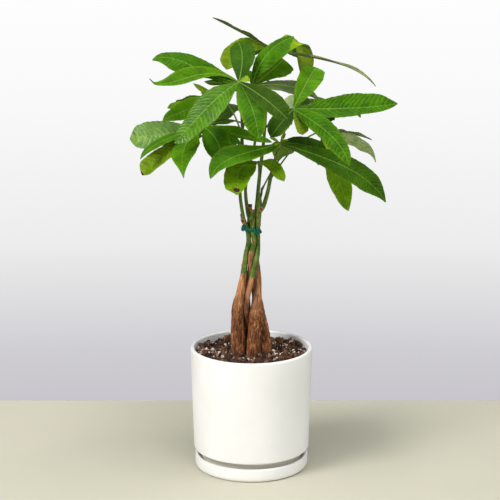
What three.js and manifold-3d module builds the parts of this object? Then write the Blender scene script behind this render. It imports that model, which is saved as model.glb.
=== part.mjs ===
// A potted money tree: five slim trunks plaited together, tied at the top of the plait, in a white
// pot that stands on its saucer, under a crown of palmate leaves.
// Millimetres, +Z up, +Y to the back. The origin is the centre of the saucer's underside.
import * as THREE from "three";
import { mergeVertices } from "three/addons/utils/BufferGeometryUtils.js";
import Module from "manifold-3d";

const wasm = await Module();
wasm.setup();

// ---------------------------------------------------------------- driving dimensions

const GAP = 0.3; // clearance between pieces that touch
const ROUND_SIDES = 36; // sides of the turned pieces

const SAUCER_RADIUS = 74.5;
const SAUCER_HEIGHT = 18;
const SAUCER_WALL = 4.5;
const SAUCER_FLOOR = 5;
const SAUCER_CORNER = 5;
const SAUCER_INNER_CORNER = 3;

const POT_RIM_RADIUS = 80;
const POT_RIM_HEIGHT = 163;
const POT_WALL = 5.4;
const POT_LIP = 2.2; // rounding of the lip
const POT_LOWER_RADIUS = 76;
const POT_LOWER_EDGE = 25; // height of the body's lower edge, above the recessed foot
const POT_EDGE_ROUND = 3;
const POT_SHOULDER = 33; // height where the inner wall turns in towards the foot
const POT_FOOT_RADIUS = 66;
const POT_FLOOR = 7; // thickness of the pot's floor
const DRAIN_RADIUS = 6;

const SOIL_BELOW_RIM = 10;
const SOIL_SHRINK = 0.3; // how far the lumpy mix stands off the wall, beyond the clearance
const SOIL_RELIEF = 2.4; // height of the lumps in the soil
const SOIL_RINGS = 6;
const SOIL_SIDES = 28;

const TRUNK_SIDES = 10;
const SHOOT_SIDES = 6;

const TIE_HEIGHT = 321;
const TIE_BREADTH = 4.4;
const TIE_THICKNESS = 1;
const TIE_SLANT = 0.2; // how much the loop sinks towards the right, as a share of x
const TIE_TURNS = 30; // straight pieces round the loop
const TIE_KNOT = 2.3;
const TIE_KNOT_TURN = 208; // where the knot sits, in degrees round the loop
const TIE_END_TURN = 312; // where the loose end of the tape is tucked in
const TIE_END_RADIUS = 1.3;
const TIE_END_SIDES = 5;
const TIE_END_TIP = 1; // radius at the free tip of an end
const TIE_REACH = 7.2; // how far above and below the tape the stems are looked at
const TIE_SAMPLES = 120; // points looked at along each stem
const TIE_LEAN = 80; // widest angle to a straight piece of the taut loop, in degrees
const TIE_LEAN_STEP = 4;

const BLADE_THICKNESS = 0.8;
const BLADE_FOLD = THREE.MathUtils.degToRad(10); // how far each half of a blade is raised
const BLADE_WAVE = 0.09; // height of the margin's waves, as a share of the half width
const BLADE_WAVES = 1.7; // waves along one margin
const RIB_NEAR = 0.4; // where the two pulls on the rib act, as shares of the way to the tip
const RIB_FAR = 0.73;
const RIB_PULL = 4 / 3; // lets a pull of 1 at both places move the middle of the rib by 1
const PETIOLE_RADIUS = 1.3;
const PETIOLE_SIDES = 5;
const PETIOLE_RISE = 0.12; // height of a petiole's bow, as a share of its horizontal reach
const PETIOLE_STEPS = 3;
const HUB_RADIUS = 2.6;

// One side of a blade: its share of the full half width at these shares of the way to the tip.
const SHARES = [0, 0.15, 0.32, 0.48, 0.64, 0.8, 0.93, 1];
const POINTED = [0.07, 0.34, 0.74, 0.96, 1, 0.8, 0.34, 0.04];
const BLUNT = [0.07, 0.38, 0.73, 0.91, 0.99, 0.95, 0.65, 0.06];
const LONG = [0.06, 0.2, 0.5, 0.85, 1, 0.82, 0.36, 0.04];
const OVAL = [0.07, 0.53, 0.89, 1, 0.98, 0.82, 0.46, 0.06];
const DRIP = [0.07, 0.36, 0.78, 1, 0.88, 0.42, 0.12, 0.03];
const EARLY = [0.07, 0.66, 0.98, 0.97, 0.78, 0.57, 0.33, 0.04];
const LATE = [0.06, 0.2, 0.45, 0.74, 0.94, 1, 0.76, 0.06];

// ---------------------------------------------------------------- materials

function material(color, roughness, metalness = 0) {
  return new THREE.MeshStandardMaterial({ color, roughness, metalness });
}

const CERAMIC = material(0xe9e6e3, 0.35);
const SOIL = material(0x4a3528, 0.95);
const BARK = material(0x8a6a48, 0.8);
const TIE = material(0x1f6f70, 0.5);
const LEAF = material(0x3f6b34, 0.4);

// ---------------------------------------------------------------- solids

function vector([x, y, z]) {
  return new THREE.Vector3(x, y, z);
}

function solidFrom(geometry) {
  const bare = geometry.clone();
  bare.deleteAttribute("normal");
  bare.deleteAttribute("uv");
  const merged = mergeVertices(bare, 1e-4);
  return new wasm.Manifold(
    new wasm.Mesh({
      numProp: 3,
      vertProperties: merged.attributes.position.array,
      triVerts: new Uint32Array(merged.index.array),
    }),
  );
}

function geometryFrom(solid) {
  const mesh = solid.getMesh();
  const positions = new THREE.BufferAttribute(mesh.vertProperties, 3);
  const geometry = new THREE.BufferGeometry().setAttribute("position", positions);
  geometry.setIndex(new THREE.BufferAttribute(mesh.triVerts, 1));
  return geometry;
}

function closedGeometry(points, faces) {
  const positions = new THREE.Float32BufferAttribute(points.flatMap((p) => p.toArray()), 3);
  return new THREE.BufferGeometry().setAttribute("position", positions).setIndex(faces.flat());
}

function fuse(solids) {
  return solids.reduce((whole, next) => whole.add(next));
}

// Profile points of a rounded corner, from one angle to another, in degrees.
function arc(radius, height, round, fromAngle, toAngle, steps = 4) {
  return Array.from({ length: steps + 1 }, (_, i) => {
    const angle = THREE.MathUtils.degToRad(fromAngle + ((toAngle - fromAngle) * i) / steps);
    return new THREE.Vector2(radius + round * Math.cos(angle), height + round * Math.sin(angle));
  });
}

// Turns a profile of (radius, height) points round the vertical axis.
function turned(profile, sides = ROUND_SIDES) {
  return new THREE.LatheGeometry(profile, sides).rotateX(Math.PI / 2);
}

// A closed round tube through stations [x, y, z, radius], every radius larger by grow.
function tube(stations, sides, stepsPerSpan, grow = 0) {
  const curve = new THREE.CatmullRomCurve3(stations.map(vector));
  const spans = stations.length - 1;
  const steps = spans * stepsPerSpan;
  const points = [];
  const faces = [];
  let across = new THREE.Vector3(0, 1, 0);
  for (let i = 0; i <= steps; i++) {
    const centre = curve.getPoint(i / steps);
    const along = curve.getTangent(i / steps);
    centre.addScaledVector(along, grow * (i === 0 ? -1 : i === steps ? 1 : 0));
    const span = Math.min(Math.floor(i / stepsPerSpan), spans - 1);
    const share = i / stepsPerSpan - span;
    const radius = THREE.MathUtils.lerp(stations[span][3], stations[span + 1][3], share) + grow;
    across = across.addScaledVector(along, -across.dot(along)).normalize();
    const side = along.clone().cross(across);
    for (let k = 0; k < sides; k++) {
      const angle = (2 * Math.PI * k) / sides;
      points.push(
        centre
          .clone()
          .addScaledVector(across, radius * Math.cos(angle))
          .addScaledVector(side, radius * Math.sin(angle)),
      );
    }
  }
  for (let i = 0; i < steps; i++) {
    for (let k = 0; k < sides; k++) {
      const a = i * sides + k;
      const b = i * sides + ((k + 1) % sides);
      faces.push([a, b, b + sides], [a, b + sides, a + sides]);
    }
  }
  for (let k = 1; k < sides - 1; k++) {
    const last = steps * sides;
    faces.push([0, k + 1, k], [last, last + k, last + k + 1]);
  }
  return solidFrom(closedGeometry(points, faces));
}

// ---------------------------------------------------------------- pot and saucer

function saucerSolid() {
  const inner = SAUCER_RADIUS - SAUCER_WALL;
  const lip = SAUCER_WALL / 2;
  const corner = SAUCER_INNER_CORNER;
  return solidFrom(
    turned([
      new THREE.Vector2(0, 0),
      ...arc(SAUCER_RADIUS - SAUCER_CORNER, SAUCER_CORNER, SAUCER_CORNER, -90, 0, 3),
      ...arc(SAUCER_RADIUS - lip, SAUCER_HEIGHT - lip, lip, 0, 180, 4),
      ...arc(inner - corner, SAUCER_FLOOR + corner, corner, 0, -90, 2),
      new THREE.Vector2(0, SAUCER_FLOOR),
    ]),
  );
}

const POT_BASE = SAUCER_FLOOR + GAP;
const POT_INNER_FLOOR = POT_BASE + POT_FLOOR;

// Inner radius of the pot at a height above its foot.
function potInnerRadius(height) {
  const share = (height - POT_LOWER_EDGE) / (POT_RIM_HEIGHT - POT_LOWER_EDGE);
  return THREE.MathUtils.lerp(POT_LOWER_RADIUS, POT_RIM_RADIUS, share) - POT_WALL;
}

function potSolid() {
  const inside = POT_FOOT_RADIUS - POT_WALL;
  const rimInner = POT_RIM_RADIUS - POT_WALL;
  return solidFrom(
    turned([
      new THREE.Vector2(DRAIN_RADIUS, POT_BASE),
      new THREE.Vector2(POT_FOOT_RADIUS, POT_BASE),
      new THREE.Vector2(POT_FOOT_RADIUS, POT_LOWER_EDGE),
      ...arc(POT_LOWER_RADIUS - POT_EDGE_ROUND, POT_LOWER_EDGE + POT_EDGE_ROUND, POT_EDGE_ROUND, -90, 0, 3),
      ...arc(POT_RIM_RADIUS - POT_LIP, POT_RIM_HEIGHT - POT_LIP, POT_LIP, 0, 90, 3),
      ...arc(rimInner + POT_LIP, POT_RIM_HEIGHT - POT_LIP, POT_LIP, 90, 180, 3),
      new THREE.Vector2(potInnerRadius(POT_SHOULDER), POT_SHOULDER),
      new THREE.Vector2(inside, POT_LOWER_EDGE),
      new THREE.Vector2(inside, POT_INNER_FLOOR),
      new THREE.Vector2(DRAIN_RADIUS, POT_INNER_FLOOR),
      new THREE.Vector2(DRAIN_RADIUS, POT_BASE),
    ]),
  );
}

// ---------------------------------------------------------------- soil

const SOIL_LEVEL = POT_RIM_HEIGHT - SOIL_BELOW_RIM;

// Height of the soil's lumpy surface, which rises a little to the pot's wall.
function soilHeight(radius, angle) {
  const x = radius * Math.cos(angle);
  const y = radius * Math.sin(angle);
  const lumps =
    Math.sin(0.23 * x + 1.1) * Math.cos(0.19 * y - 0.4) + 0.7 * Math.sin(0.41 * x - 0.33 * y + 2.3);
  return SOIL_LEVEL + SOIL_RELIEF * (0.55 * lumps + 0.5 * Math.sin(5 * angle + 0.08 * radius));
}

function soilSolid(trunkHoles) {
  const topRadius = potInnerRadius(SOIL_LEVEL) - GAP - SOIL_SHRINK;
  const foot = POT_FOOT_RADIUS - POT_WALL - GAP;
  const bottom = POT_INNER_FLOOR + GAP;
  const edge = [
    [foot, bottom],
    [foot, POT_LOWER_EDGE],
    [potInnerRadius(POT_SHOULDER) - GAP - SOIL_SHRINK, POT_SHOULDER + 1],
  ];
  const points = [new THREE.Vector3(0, 0, bottom)];
  const ring = (radius, heightAt) => {
    for (let k = 0; k < SOIL_SIDES; k++) {
      const angle = (2 * Math.PI * k) / SOIL_SIDES;
      points.push(vector([radius * Math.cos(angle), radius * Math.sin(angle), heightAt(angle)]));
    }
  };
  edge.forEach(([radius, height]) => ring(radius, () => height));
  for (let i = SOIL_RINGS; i >= 1; i--) {
    const radius = (topRadius * i) / SOIL_RINGS;
    ring(radius, (angle) => soilHeight(radius, angle));
  }
  const rings = edge.length + SOIL_RINGS;
  points.push(vector([0, 0, soilHeight(0, 0)]));
  const top = points.length - 1;
  const faces = [];
  for (let k = 0; k < SOIL_SIDES; k++) {
    const next = (k + 1) % SOIL_SIDES;
    faces.push([0, 1 + next, 1 + k]);
    for (let i = 0; i < rings - 1; i++) {
      const a = 1 + i * SOIL_SIDES;
      const b = a + SOIL_SIDES;
      faces.push([a + k, a + next, b + next], [a + k, b + next, b + k]);
    }
    const last = 1 + (rings - 1) * SOIL_SIDES;
    faces.push([last + k, last + next, top]);
  }
  return solidFrom(closedGeometry(points, faces)).subtract(trunkHoles);
}

// ---------------------------------------------------------------- trunks

// Each trunk: stations [x, y, z, radius] of the stem from its foot in the soil to its top, and the
// green shoots that grew out of it. The plait runs from the soil to the tie.
const TRUNKS = {
  trunk_1: {
    stem: [
      [-17, -4, 88, 7],
      [-17, -4, 118, 8.8],
      [-17, -4, 150, 9.4],
      [-17.8, -3.5, 182, 8.6],
      [-17.6, -3, 214, 8],
      [-13.6, -3.5, 237, 6],
      [-9.9, -1.5, 262, 4.2],
      [-6.8, -0.3, 287, 3.2],
      [-3.6, -2, 306, 3],
      [-5.2, -2.4, 321, 3],
      [-9.6, -4.4, 332, 3.1],
      [-12.2, -5.5, 342, 2.4],
    ],
    shoots: [
      [
        [-9.8, -4.6, 333, 2.4],
        [-14.4, -8, 367, 2.1],
        [-13.4, -10, 413, 1.9],
        [-12, -12, 452, 1.7],
        [-12.4, -13, 474, 1.6],
      ],
    ],
  },
  trunk_2: {
    stem: [
      [2, -12.4, 88, 7],
      [2, -12.4, 118, 8.6],
      [2, -12.4, 150, 9.4],
      [3.6, -11.4, 182, 8.4],
      [5.4, -9, 205, 7.6],
      [6.2, -7, 216, 7],
      [7.6, -3.4, 237, 5.8],
      [7.6, 0.4, 259, 4.7],
      [5.2, 4.6, 287, 3.4],
      [3.6, 5.6, 306, 3],
      [4.2, 5.4, 321, 3],
      [7, 8, 350, 2.6],
      [11, 13, 392, 2.3],
      [16, 22, 434, 2.1],
      [20, 42, 488, 1.9],
      [22, 52, 512, 1.6],
    ],
    shoots: [],
  },
  trunk_3: {
    stem: [
      [18.6, -1, 88, 7],
      [18.6, -1, 118, 8.4],
      [18.6, -1, 150, 9],
      [15.4, 1.4, 182, 8],
      [9.4, 6.6, 214, 6.6],
      [5, 9.4, 237, 5],
      [0.6, 9.9, 262, 3.6],
      [-2.4, 7.2, 287, 3.2],
      [-3.2, 5, 306, 2.9],
      [-3, 5.4, 321, 3],
      [-2.2, 6, 340, 3],
      [-1.8, 6.4, 352, 2.5],
    ],
    shoots: [
      [
        [-2.6, 6.2, 338, 1.9],
        [-6, 13, 352, 1.9],
        [-9, 20, 392, 1.8],
        [-11, 30, 424, 1.6],
        [-12, 36, 440, 1.4],
      ],
    ],
  },
  trunk_4: {
    stem: [
      [10.4, 17.4, 88, 6.6],
      [10.4, 17.4, 118, 8],
      [9.6, 17.2, 150, 8.6],
      [2, 7.4, 178, 5],
      [-5.4, -1.6, 200, 2.9],
      [-6.8, -6.8, 212, 2.9],
      [-4.2, -11.6, 237, 3.4],
      [1.6, -9.6, 262, 3.6],
      [7.4, -4.4, 287, 3.4],
      [8.4, 1, 306, 3],
      [8, -1.8, 321, 3.4],
      [9.4, -5, 343, 3.8],
      [10, -5, 358, 3.5],
      [10.3, -5, 364, 2.4],
    ],
    shoots: [
      [
        [9.4, -5, 343, 2.6],
        [15, -6.6, 352, 3],
        [20.6, -12, 371, 2.5],
        [24.2, -18, 391, 2.4],
        [30.4, -26, 418, 2.2],
        [34, -30, 431, 1.9],
      ],
      [
        [10.2, -5, 360, 2],
        [12.6, -2, 367, 1.6],
        [13.4, 0, 374, 1.4],
      ],
    ],
  },
  trunk_5: {
    stem: [
      [-8.8, 15.4, 88, 7],
      [-8.8, 15.4, 118, 8.4],
      [-8.8, 15.4, 150, 9],
      [-9.6, 13.6, 182, 8],
      [-8.6, 10.8, 214, 6.4],
      [-6.4, 6.4, 237, 4.8],
      [-2.1, 2.6, 262, 3.3],
      [-0.2, -4.8, 287, 3.2],
      [3.4, -4.6, 306, 3.1],
      [1.4, -4.6, 321, 3.3],
      [1.2, -5, 334, 3.7],
      [1.4, -5, 347, 3.6],
    ],
    shoots: [
      [
        [0.9, -4.6, 329, 2.4],
        [-3.6, -1.4, 337, 2.2],
        [-6, -0.6, 350, 2.1],
        [-7.6, 2, 372, 2],
        [-2, 8, 405, 1.9],
        [4.6, 9, 434, 1.8],
        [4, 8, 466, 1.6],
      ],
    ],
  },
};

function trunkSolid({ stem, shoots }, grow = 0) {
  return fuse([
    tube(stem, TRUNK_SIDES, 2, grow),
    ...shoots.map((stations) => tube(stations, SHOOT_SIDES, 2, grow)),
  ]);
}

// ---------------------------------------------------------------- tie

// Circles [x, y, radius] of every stem and shoot where it passes through the tie.
function stemsAtTie() {
  const circles = [];
  for (const { stem, shoots } of Object.values(TRUNKS)) {
    for (const stations of [stem, ...shoots]) {
      const curve = new THREE.CatmullRomCurve3(stations.map(vector));
      for (const point of curve.getPoints(TIE_SAMPLES)) {
        const nearest = stations.reduce((a, b) =>
          Math.abs(a[2] - point.z) < Math.abs(b[2] - point.z) ? a : b,
        );
        if (Math.abs(point.z - TIE_HEIGHT) < TIE_REACH) circles.push([point.x, point.y, nearest[3]]);
      }
    }
  }
  return circles;
}

// Distance from the middle to a taut loop round the circles, in one direction.
function loopRadius(circles, angle) {
  let nearest = Infinity;
  for (let turn = -TIE_LEAN; turn <= TIE_LEAN; turn += TIE_LEAN_STEP) {
    const lean = THREE.MathUtils.degToRad(turn);
    const [cos, sin] = [Math.cos(angle + lean), Math.sin(angle + lean)];
    const reach = Math.max(...circles.map(([x, y, radius]) => x * cos + y * sin + radius));
    nearest = Math.min(nearest, reach / Math.cos(lean));
  }
  return nearest;
}

// A flat tape drawn round the stems, with a knot and two short ends at its left.
function tieSolid() {
  const circles = stemsAtTie();
  const points = [];
  const faces = [];
  for (let k = 0; k < TIE_TURNS; k++) {
    const angle = (2 * Math.PI * k) / TIE_TURNS;
    const inner = loopRadius(circles, angle) + GAP;
    for (const [radius, way] of [
      [inner, -1],
      [inner + TIE_THICKNESS, -1],
      [inner + TIE_THICKNESS, 1],
      [inner, 1],
    ]) {
      const x = radius * Math.cos(angle);
      const height = TIE_HEIGHT - TIE_SLANT * x + (way * TIE_BREADTH) / 2;
      points.push(new THREE.Vector3(x, radius * Math.sin(angle), height));
    }
    const next = 4 * ((k + 1) % TIE_TURNS);
    for (let corner = 0; corner < 4; corner++) {
      const a = 4 * k + corner;
      const b = 4 * k + ((corner + 1) % 4);
      const [c, d] = [next + ((corner + 1) % 4), next + corner];
      faces.push([a, d, c], [a, c, b]);
    }
  }
  const outside = (turn, lift) => {
    const angle = THREE.MathUtils.degToRad(turn);
    const radius = loopRadius(circles, angle) + GAP + TIE_THICKNESS;
    const [x, y] = [radius * Math.cos(angle), radius * Math.sin(angle)];
    return [x, y, TIE_HEIGHT - TIE_SLANT * x + lift];
  };
  const knot = new THREE.IcosahedronGeometry(TIE_KNOT, 1).translate(...outside(TIE_KNOT_TURN, 0));
  // Each end: from its turn and height to its turn and height, both measured from the loop.
  const ends = [
    [TIE_KNOT_TURN, 0, TIE_KNOT_TURN + 16, 3],
    [TIE_END_TURN, -3, TIE_END_TURN + 4, 7],
  ].map(([turn, lift, tipTurn, tipLift]) => {
    const stations = [
      [...outside(turn, lift), TIE_END_RADIUS],
      [...outside(tipTurn, tipLift), TIE_END_TIP],
    ];
    return tube(stations, TIE_END_SIDES, 1);
  });
  return fuse([solidFrom(closedGeometry(points, faces)), solidFrom(knot), ...ends]);
}

// ---------------------------------------------------------------- leaves

// One leaf: the point on its stem where it grows, its hub, the way its upper faces look, and its
// leaflets as [tip x, tip y, tip z, left and right half width, arch near and far, bend near and far,
// roll, left and right outline]. Left and right are seen from the hub. The arches raise the near and
// the far half of the rib above the straight line to the tip, the bends move them to the right, and
// the roll, in degrees, turns the blade about its rib.
const LEAVES = {
  leaf_top_front: {
    root: [-12.4, -13, 470],
    hub: [-16, -15, 514],
    faces: [-0.1, -0.75, 0.65],
    leaflets: [
      [-125, -10, 542, 18, 14, 6, 8, -10, 13, 0, LONG, EARLY],
      [-129, -60, 521, 8, 13, 12, -8, 19, -8, 0, DRIP, DRIP],
      [-94, -95, 451, 22, 16, 8, 8, 3, -3, 0, OVAL, EARLY],
      [-18, 40, 558, 15, 17, 5, 5, 6, 6, 0, OVAL, OVAL],
      [44, -72, 477, 15, 13, 8, 8, 0, 0, 0, BLUNT, BLUNT],
      [9, -70, 452, 20, 17, 10, 10, -4, -4, 0, EARLY, OVAL],
      [-60, 5, 512, 5, 4, 1, 1, -2, -2, 0, POINTED, POINTED],
    ],
  },
  leaf_right_front: {
    root: [28, -23, 409],
    hub: [53, -20, 481],
    faces: [0.1, -0.75, 0.65],
    leaflets: [
      [183, -30, 489, 20, 15, 2, 2, 4, 5, 0, POINTED, EARLY],
      [120, -90, 422, 14, 15, 8, 10, -3, -9, 0, EARLY, OVAL],
      [82, 20, 528, 14, 17, 6, 6, 0, 0, 0, BLUNT, BLUNT],
      [48, -8, 496, 10, 10, 3, 3, 0, 0, 150, BLUNT, BLUNT],
      [24, -54, 451, 12, 14, 3, 3, 0, 0, 0, OVAL, OVAL],
      [64, -45, 452, 10, 7, 4, 4, 0, 0, 0, BLUNT, BLUNT],
    ],
  },
  leaf_low_right: {
    root: [32, -27.8, 424],
    hub: [36, -30, 439],
    faces: [0, -0.7, 0.7],
    leaflets: [
      [-51, -90, 407, 15, 17, 6, 8, -1, 13, 0, EARLY, LONG],
      [169, -50, 367, 16, 19, 14, 14, -2, -13, 0, POINTED, POINTED],
      [100, 10, 418, 13, 9, 8, 4, 0, 0, 0, OVAL, OVAL],
    ],
  },
  leaf_low_front: {
    root: [10.2, -5, 362],
    hub: [9, -15, 412],
    faces: [0, -0.6, 0.8],
    leaflets: [
      [-18, -85, 384, 20, 18, 6, 6, 20, 3, 0, EARLY, BLUNT],
      [41, -50, 394, 10.5, 9, 5, 6, -3, -3, 0, EARLY, BLUNT],
    ],
  },
  leaf_left_front: {
    root: [-13, -11, 432],
    hub: [-60, -25, 458],
    faces: [-0.3, -0.6, 0.75],
    leaflets: [
      [-151, -60, 452, 21, 18, 4, 4, -4, -4, -18, LATE, BLUNT],
      [-136, -95, 431, 9, 7, 6, 4, 2, 10, 0, POINTED, POINTED],
      [-136, -70, 406, 15, 14, 12, 12, -12, -3, 0, BLUNT, LATE],
      [-83, -108, 410, 22, 15, 8, 8, 14, 6, 0, DRIP, DRIP],
      [-35, -60, 419, 16, 18, 8, 8, -7, -5, 0, OVAL, OVAL],
      [26, -20, 438, 11, 6, 0, 0, 0, 0, 0, EARLY, POINTED],
      [-7, 40, 449, 4, 16, 6, 8, -3, -3, 0, POINTED, POINTED],
      [-13, -30, 439, 5, 10, 3, 3, 0, 0, 0, POINTED, POINTED],
    ],
  },
  leaf_left_middle: {
    root: [-12.2, -12, 448],
    hub: [-33, 20, 484],
    faces: [-0.2, -0.5, 0.85],
    leaflets: [
      [-111, -30, 468, 20, 15, 2, 2, 4, 3, -22, EARLY, EARLY],
      [-75, 35, 505, 4, 3.5, 2, 2, 0, 0, -55, POINTED, POINTED],
      [-107, 5, 478, 8, 8, 2, 2, 0, 0, 0, BLUNT, BLUNT],
      [-55, 30, 458, 12, 8, 2, 2, -3, -3, 0, OVAL, POINTED],
    ],
  },
  leaf_top_middle: {
    root: [4, 8, 462],
    hub: [1, 5, 507],
    faces: [0.1, -0.6, 0.8],
    leaflets: [
      [54, 20, 567, 9, 22, 7, 7, -10, -8, 0, EARLY, POINTED],
      [69, 118, 497, 17, 16, 74, 44, -4, -4, 0, BLUNT, BLUNT],
      [42, 50, 534, 12, 20, 4, 4, 3, 0, 20, LATE, LATE],
      [87, 24, 486, 10, 15, 8, 8, -4, -4, 0, POINTED, EARLY],
      [0, 92, 510, 16, 16, 8, 8, 0, 0, 0, POINTED, POINTED],
    ],
  },
  leaf_top_back: {
    root: [22, 52, 508],
    hub: [27, 70, 546],
    faces: [0, 0.12, 1],
    leaflets: [
      [-50, 60, 587, 13, 13, 0, 0, -2.5, -2.5, 0, POINTED, POINTED],
      [160, 30, 502, 9, 10, 4, 17, 0, 0, 4, POINTED, POINTED],
      [-32, 62, 519, 15.5, 15.5, 6, 6, 15, 14, -60, BLUNT, BLUNT],
      [70, 165, 518, 17, 17, 5, 5, 0, 0, 0, POINTED, POINTED],
      [-5, 172, 520, 17, 17, 3, 3, 0, 0, 0, POINTED, POINTED],
    ],
  },
  leaf_right_back: {
    root: [24.2, -18, 391],
    hub: [92, 50, 442],
    faces: [0.2, -0.4, 0.9],
    leaflets: [
      [160, 10, 407, 13, 18, 8, 8, 10, -14, 0, DRIP, DRIP],
      [158, 60, 427, 13, 13, 3, 3, 3, 3, -28, POINTED, POINTED],
      [125, -5, 346, 14, 18, 8, 8, 4, 4, 0, LONG, OVAL],
      [114, 25, 408, 11, 12, 5, 5, 4, 4, 0, OVAL, OVAL],
      [94, 150, 440, 17, 17, 8, 8, 0, 0, 0, POINTED, POINTED],
    ],
  },
  leaf_back_left: {
    root: [3.4, 8.6, 452],
    hub: [-45, 65, 478],
    faces: [-0.2, 0.4, 0.9],
    leaflets: [
      [-100, 75, 456, 15, 15, 8, 8, 0, 0, 0, POINTED, POINTED],
      [-98, 135, 450, 17, 17, 12, 12, 0, 0, 0, POINTED, POINTED],
      [-48, 170, 458, 18, 18, 14, 14, 0, 0, 0, POINTED, POINTED],
      [8, 142, 474, 16, 16, 10, 10, 0, 0, 0, POINTED, POINTED],
    ],
  },
  leaf_back_right: {
    root: [17, 28, 448],
    hub: [80, 80, 470],
    faces: [0.3, 0.4, 0.9],
    leaflets: [
      [140, 62, 462, 15, 15, 4, 4, 0, 0, 0, POINTED, POINTED],
      [146, 112, 448, 17, 17, 10, 10, 0, 0, 0, POINTED, POINTED],
      [118, 168, 442, 18, 18, 14, 14, 0, 0, 0, POINTED, POINTED],
      [64, 178, 450, 17, 17, 12, 12, 0, 0, 0, POINTED, POINTED],
    ],
  },
  leaf_back_middle: {
    root: [-12, 36, 439],
    hub: [-2, 85, 464],
    faces: [0, 0.5, 0.85],
    leaflets: [
      [-52, 160, 428, 17, 17, 12, 12, 0, 0, 0, POINTED, POINTED],
      [2, 186, 430, 18, 18, 14, 14, 0, 0, 0, POINTED, POINTED],
      [55, 150, 432, 17, 17, 12, 12, 0, 0, 0, POINTED, POINTED],
    ],
  },
  leaf_back_left_low: {
    root: [-11, 30, 424],
    hub: [-60, 60, 436],
    faces: [-0.3, 0.3, 0.9],
    leaflets: [
      [-118, 62, 423, 15, 15, 8, 8, 0, 0, 0, POINTED, POINTED],
      [-116, 118, 404, 17, 17, 12, 12, 0, 0, 0, POINTED, POINTED],
      [-86, 148, 396, 18, 18, 14, 14, 0, 0, 0, POINTED, POINTED],
      [-22, 120, 400, 15, 15, 10, 10, 0, 0, 0, POINTED, POINTED],
      [-88, 20, 398, 14, 14, 8, 8, 0, 0, 0, POINTED, POINTED],
    ],
  },
  leaf_back_right_low: {
    root: [13.4, 0, 373],
    hub: [58, 75, 414],
    faces: [0.2, 0.4, 0.9],
    leaflets: [
      [118, 100, 392, 16, 16, 10, 10, 0, 0, 0, POINTED, POINTED],
      [92, 150, 376, 18, 18, 14, 14, 0, 0, 0, POINTED, POINTED],
      [34, 150, 382, 17, 17, 12, 12, 0, 0, 0, POINTED, POINTED],
    ],
  },
};

// A thin arched blade from its hub to its tip.
function bladeSolid(hub, faces, row, index) {
  const [x, y, z, left, right, archNear, archFar, bendNear, bendFar, roll, ...outlines] = row;
  const tip = vector([x, y, z]);
  const along = tip.clone().sub(hub).normalize();
  const up = faces.clone().addScaledVector(along, -faces.dot(along)).normalize();
  up.applyAxisAngle(along, THREE.MathUtils.degToRad(roll));
  const side = along.clone().cross(up);
  const pulled = (share, arch, bend) => {
    const point = hub.clone().lerp(tip, share).addScaledVector(up, RIB_PULL * arch);
    return point.addScaledVector(side, RIB_PULL * bend);
  };
  const near = pulled(RIB_NEAR, archNear, bendNear);
  const far = pulled(RIB_FAR, archFar, bendFar);
  const rib = new THREE.CubicBezierCurve3(hub, near, far, tip);
  const points = [];
  SHARES.forEach((share, station) => {
    const centre = rib.getPoint(share);
    const tangent = rib.getTangent(share);
    const across = side.clone().addScaledVector(tangent, -side.dot(tangent)).normalize();
    const normal = across.clone().cross(tangent);
    const [leftHalf, rightHalf] = [left * outlines[0][station], right * outlines[1][station]];
    const ring = [-leftHalf, 0, rightHalf].map((offset) => {
      const phase = index + 2 * Math.sign(offset);
      const wave = Math.sin(2 * Math.PI * BLADE_WAVES * share + phase) * BLADE_WAVE;
      return centre
        .clone()
        .addScaledVector(across, offset * Math.cos(BLADE_FOLD))
        .addScaledVector(normal, Math.abs(offset) * (Math.sin(BLADE_FOLD) + wave));
    });
    points.push(...ring, ...ring.map((p) => p.clone().addScaledVector(normal, -BLADE_THICKNESS)));
  });
  // The points of a ring: 0 to 2 above and 3 to 5 below, each from left to right.
  const loop = [0, 1, 2, 5, 4, 3];
  const cap = [
    [0, 3, 4],
    [0, 4, 1],
    [1, 4, 5],
    [1, 5, 2],
  ];
  const size = loop.length;
  const last = size * (SHARES.length - 1);
  const faceList = [...cap, ...cap.map(([a, b, c]) => [last + a, last + c, last + b])];
  for (let start = 0; start < last; start += size) {
    loop.forEach((corner, k) => {
      const [a, b] = [start + corner, start + loop[(k + 1) % size]];
      faceList.push([a, b, b + size], [a, b + size, a + size]);
    });
  }
  return solidFrom(closedGeometry(points, faceList));
}

function petioleSolid(root, hub) {
  const middle = root.map((value, axis) => (value + hub[axis]) / 2);
  middle[2] += PETIOLE_RISE * Math.hypot(hub[0] - root[0], hub[1] - root[1]);
  const stations = [root, middle, hub].map((p) => [...p, PETIOLE_RADIUS]);
  return tube(stations, PETIOLE_SIDES, PETIOLE_STEPS);
}

function leafSolid({ root, hub, faces, leaflets }, stems) {
  const centre = vector(hub);
  const knuckle = new THREE.IcosahedronGeometry(HUB_RADIUS, 0).translate(...hub);
  const blades = leaflets.map((leaflet, i) => bladeSolid(centre, vector(faces), leaflet, i));
  return fuse([petioleSolid(root, hub), solidFrom(knuckle), ...blades]).subtract(stems);
}

// ---------------------------------------------------------------- assembly

const tree = new THREE.Group();

function addPiece(name, solid, look) {
  const mesh = new THREE.Mesh(geometryFrom(solid), look);
  mesh.name = name;
  tree.add(mesh);
}

const clearance = fuse(Object.values(TRUNKS).map((trunk) => trunkSolid(trunk, GAP)));

addPiece("saucer", saucerSolid(), CERAMIC);
addPiece("pot", potSolid(), CERAMIC);
addPiece("soil", soilSolid(clearance), SOIL);
for (const [name, trunk] of Object.entries(TRUNKS)) addPiece(name, trunkSolid(trunk), BARK);
addPiece("tie", tieSolid(), TIE);
for (const [name, leaf] of Object.entries(LEAVES)) addPiece(name, leafSolid(leaf, clearance), LEAF);

export default tree;
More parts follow.
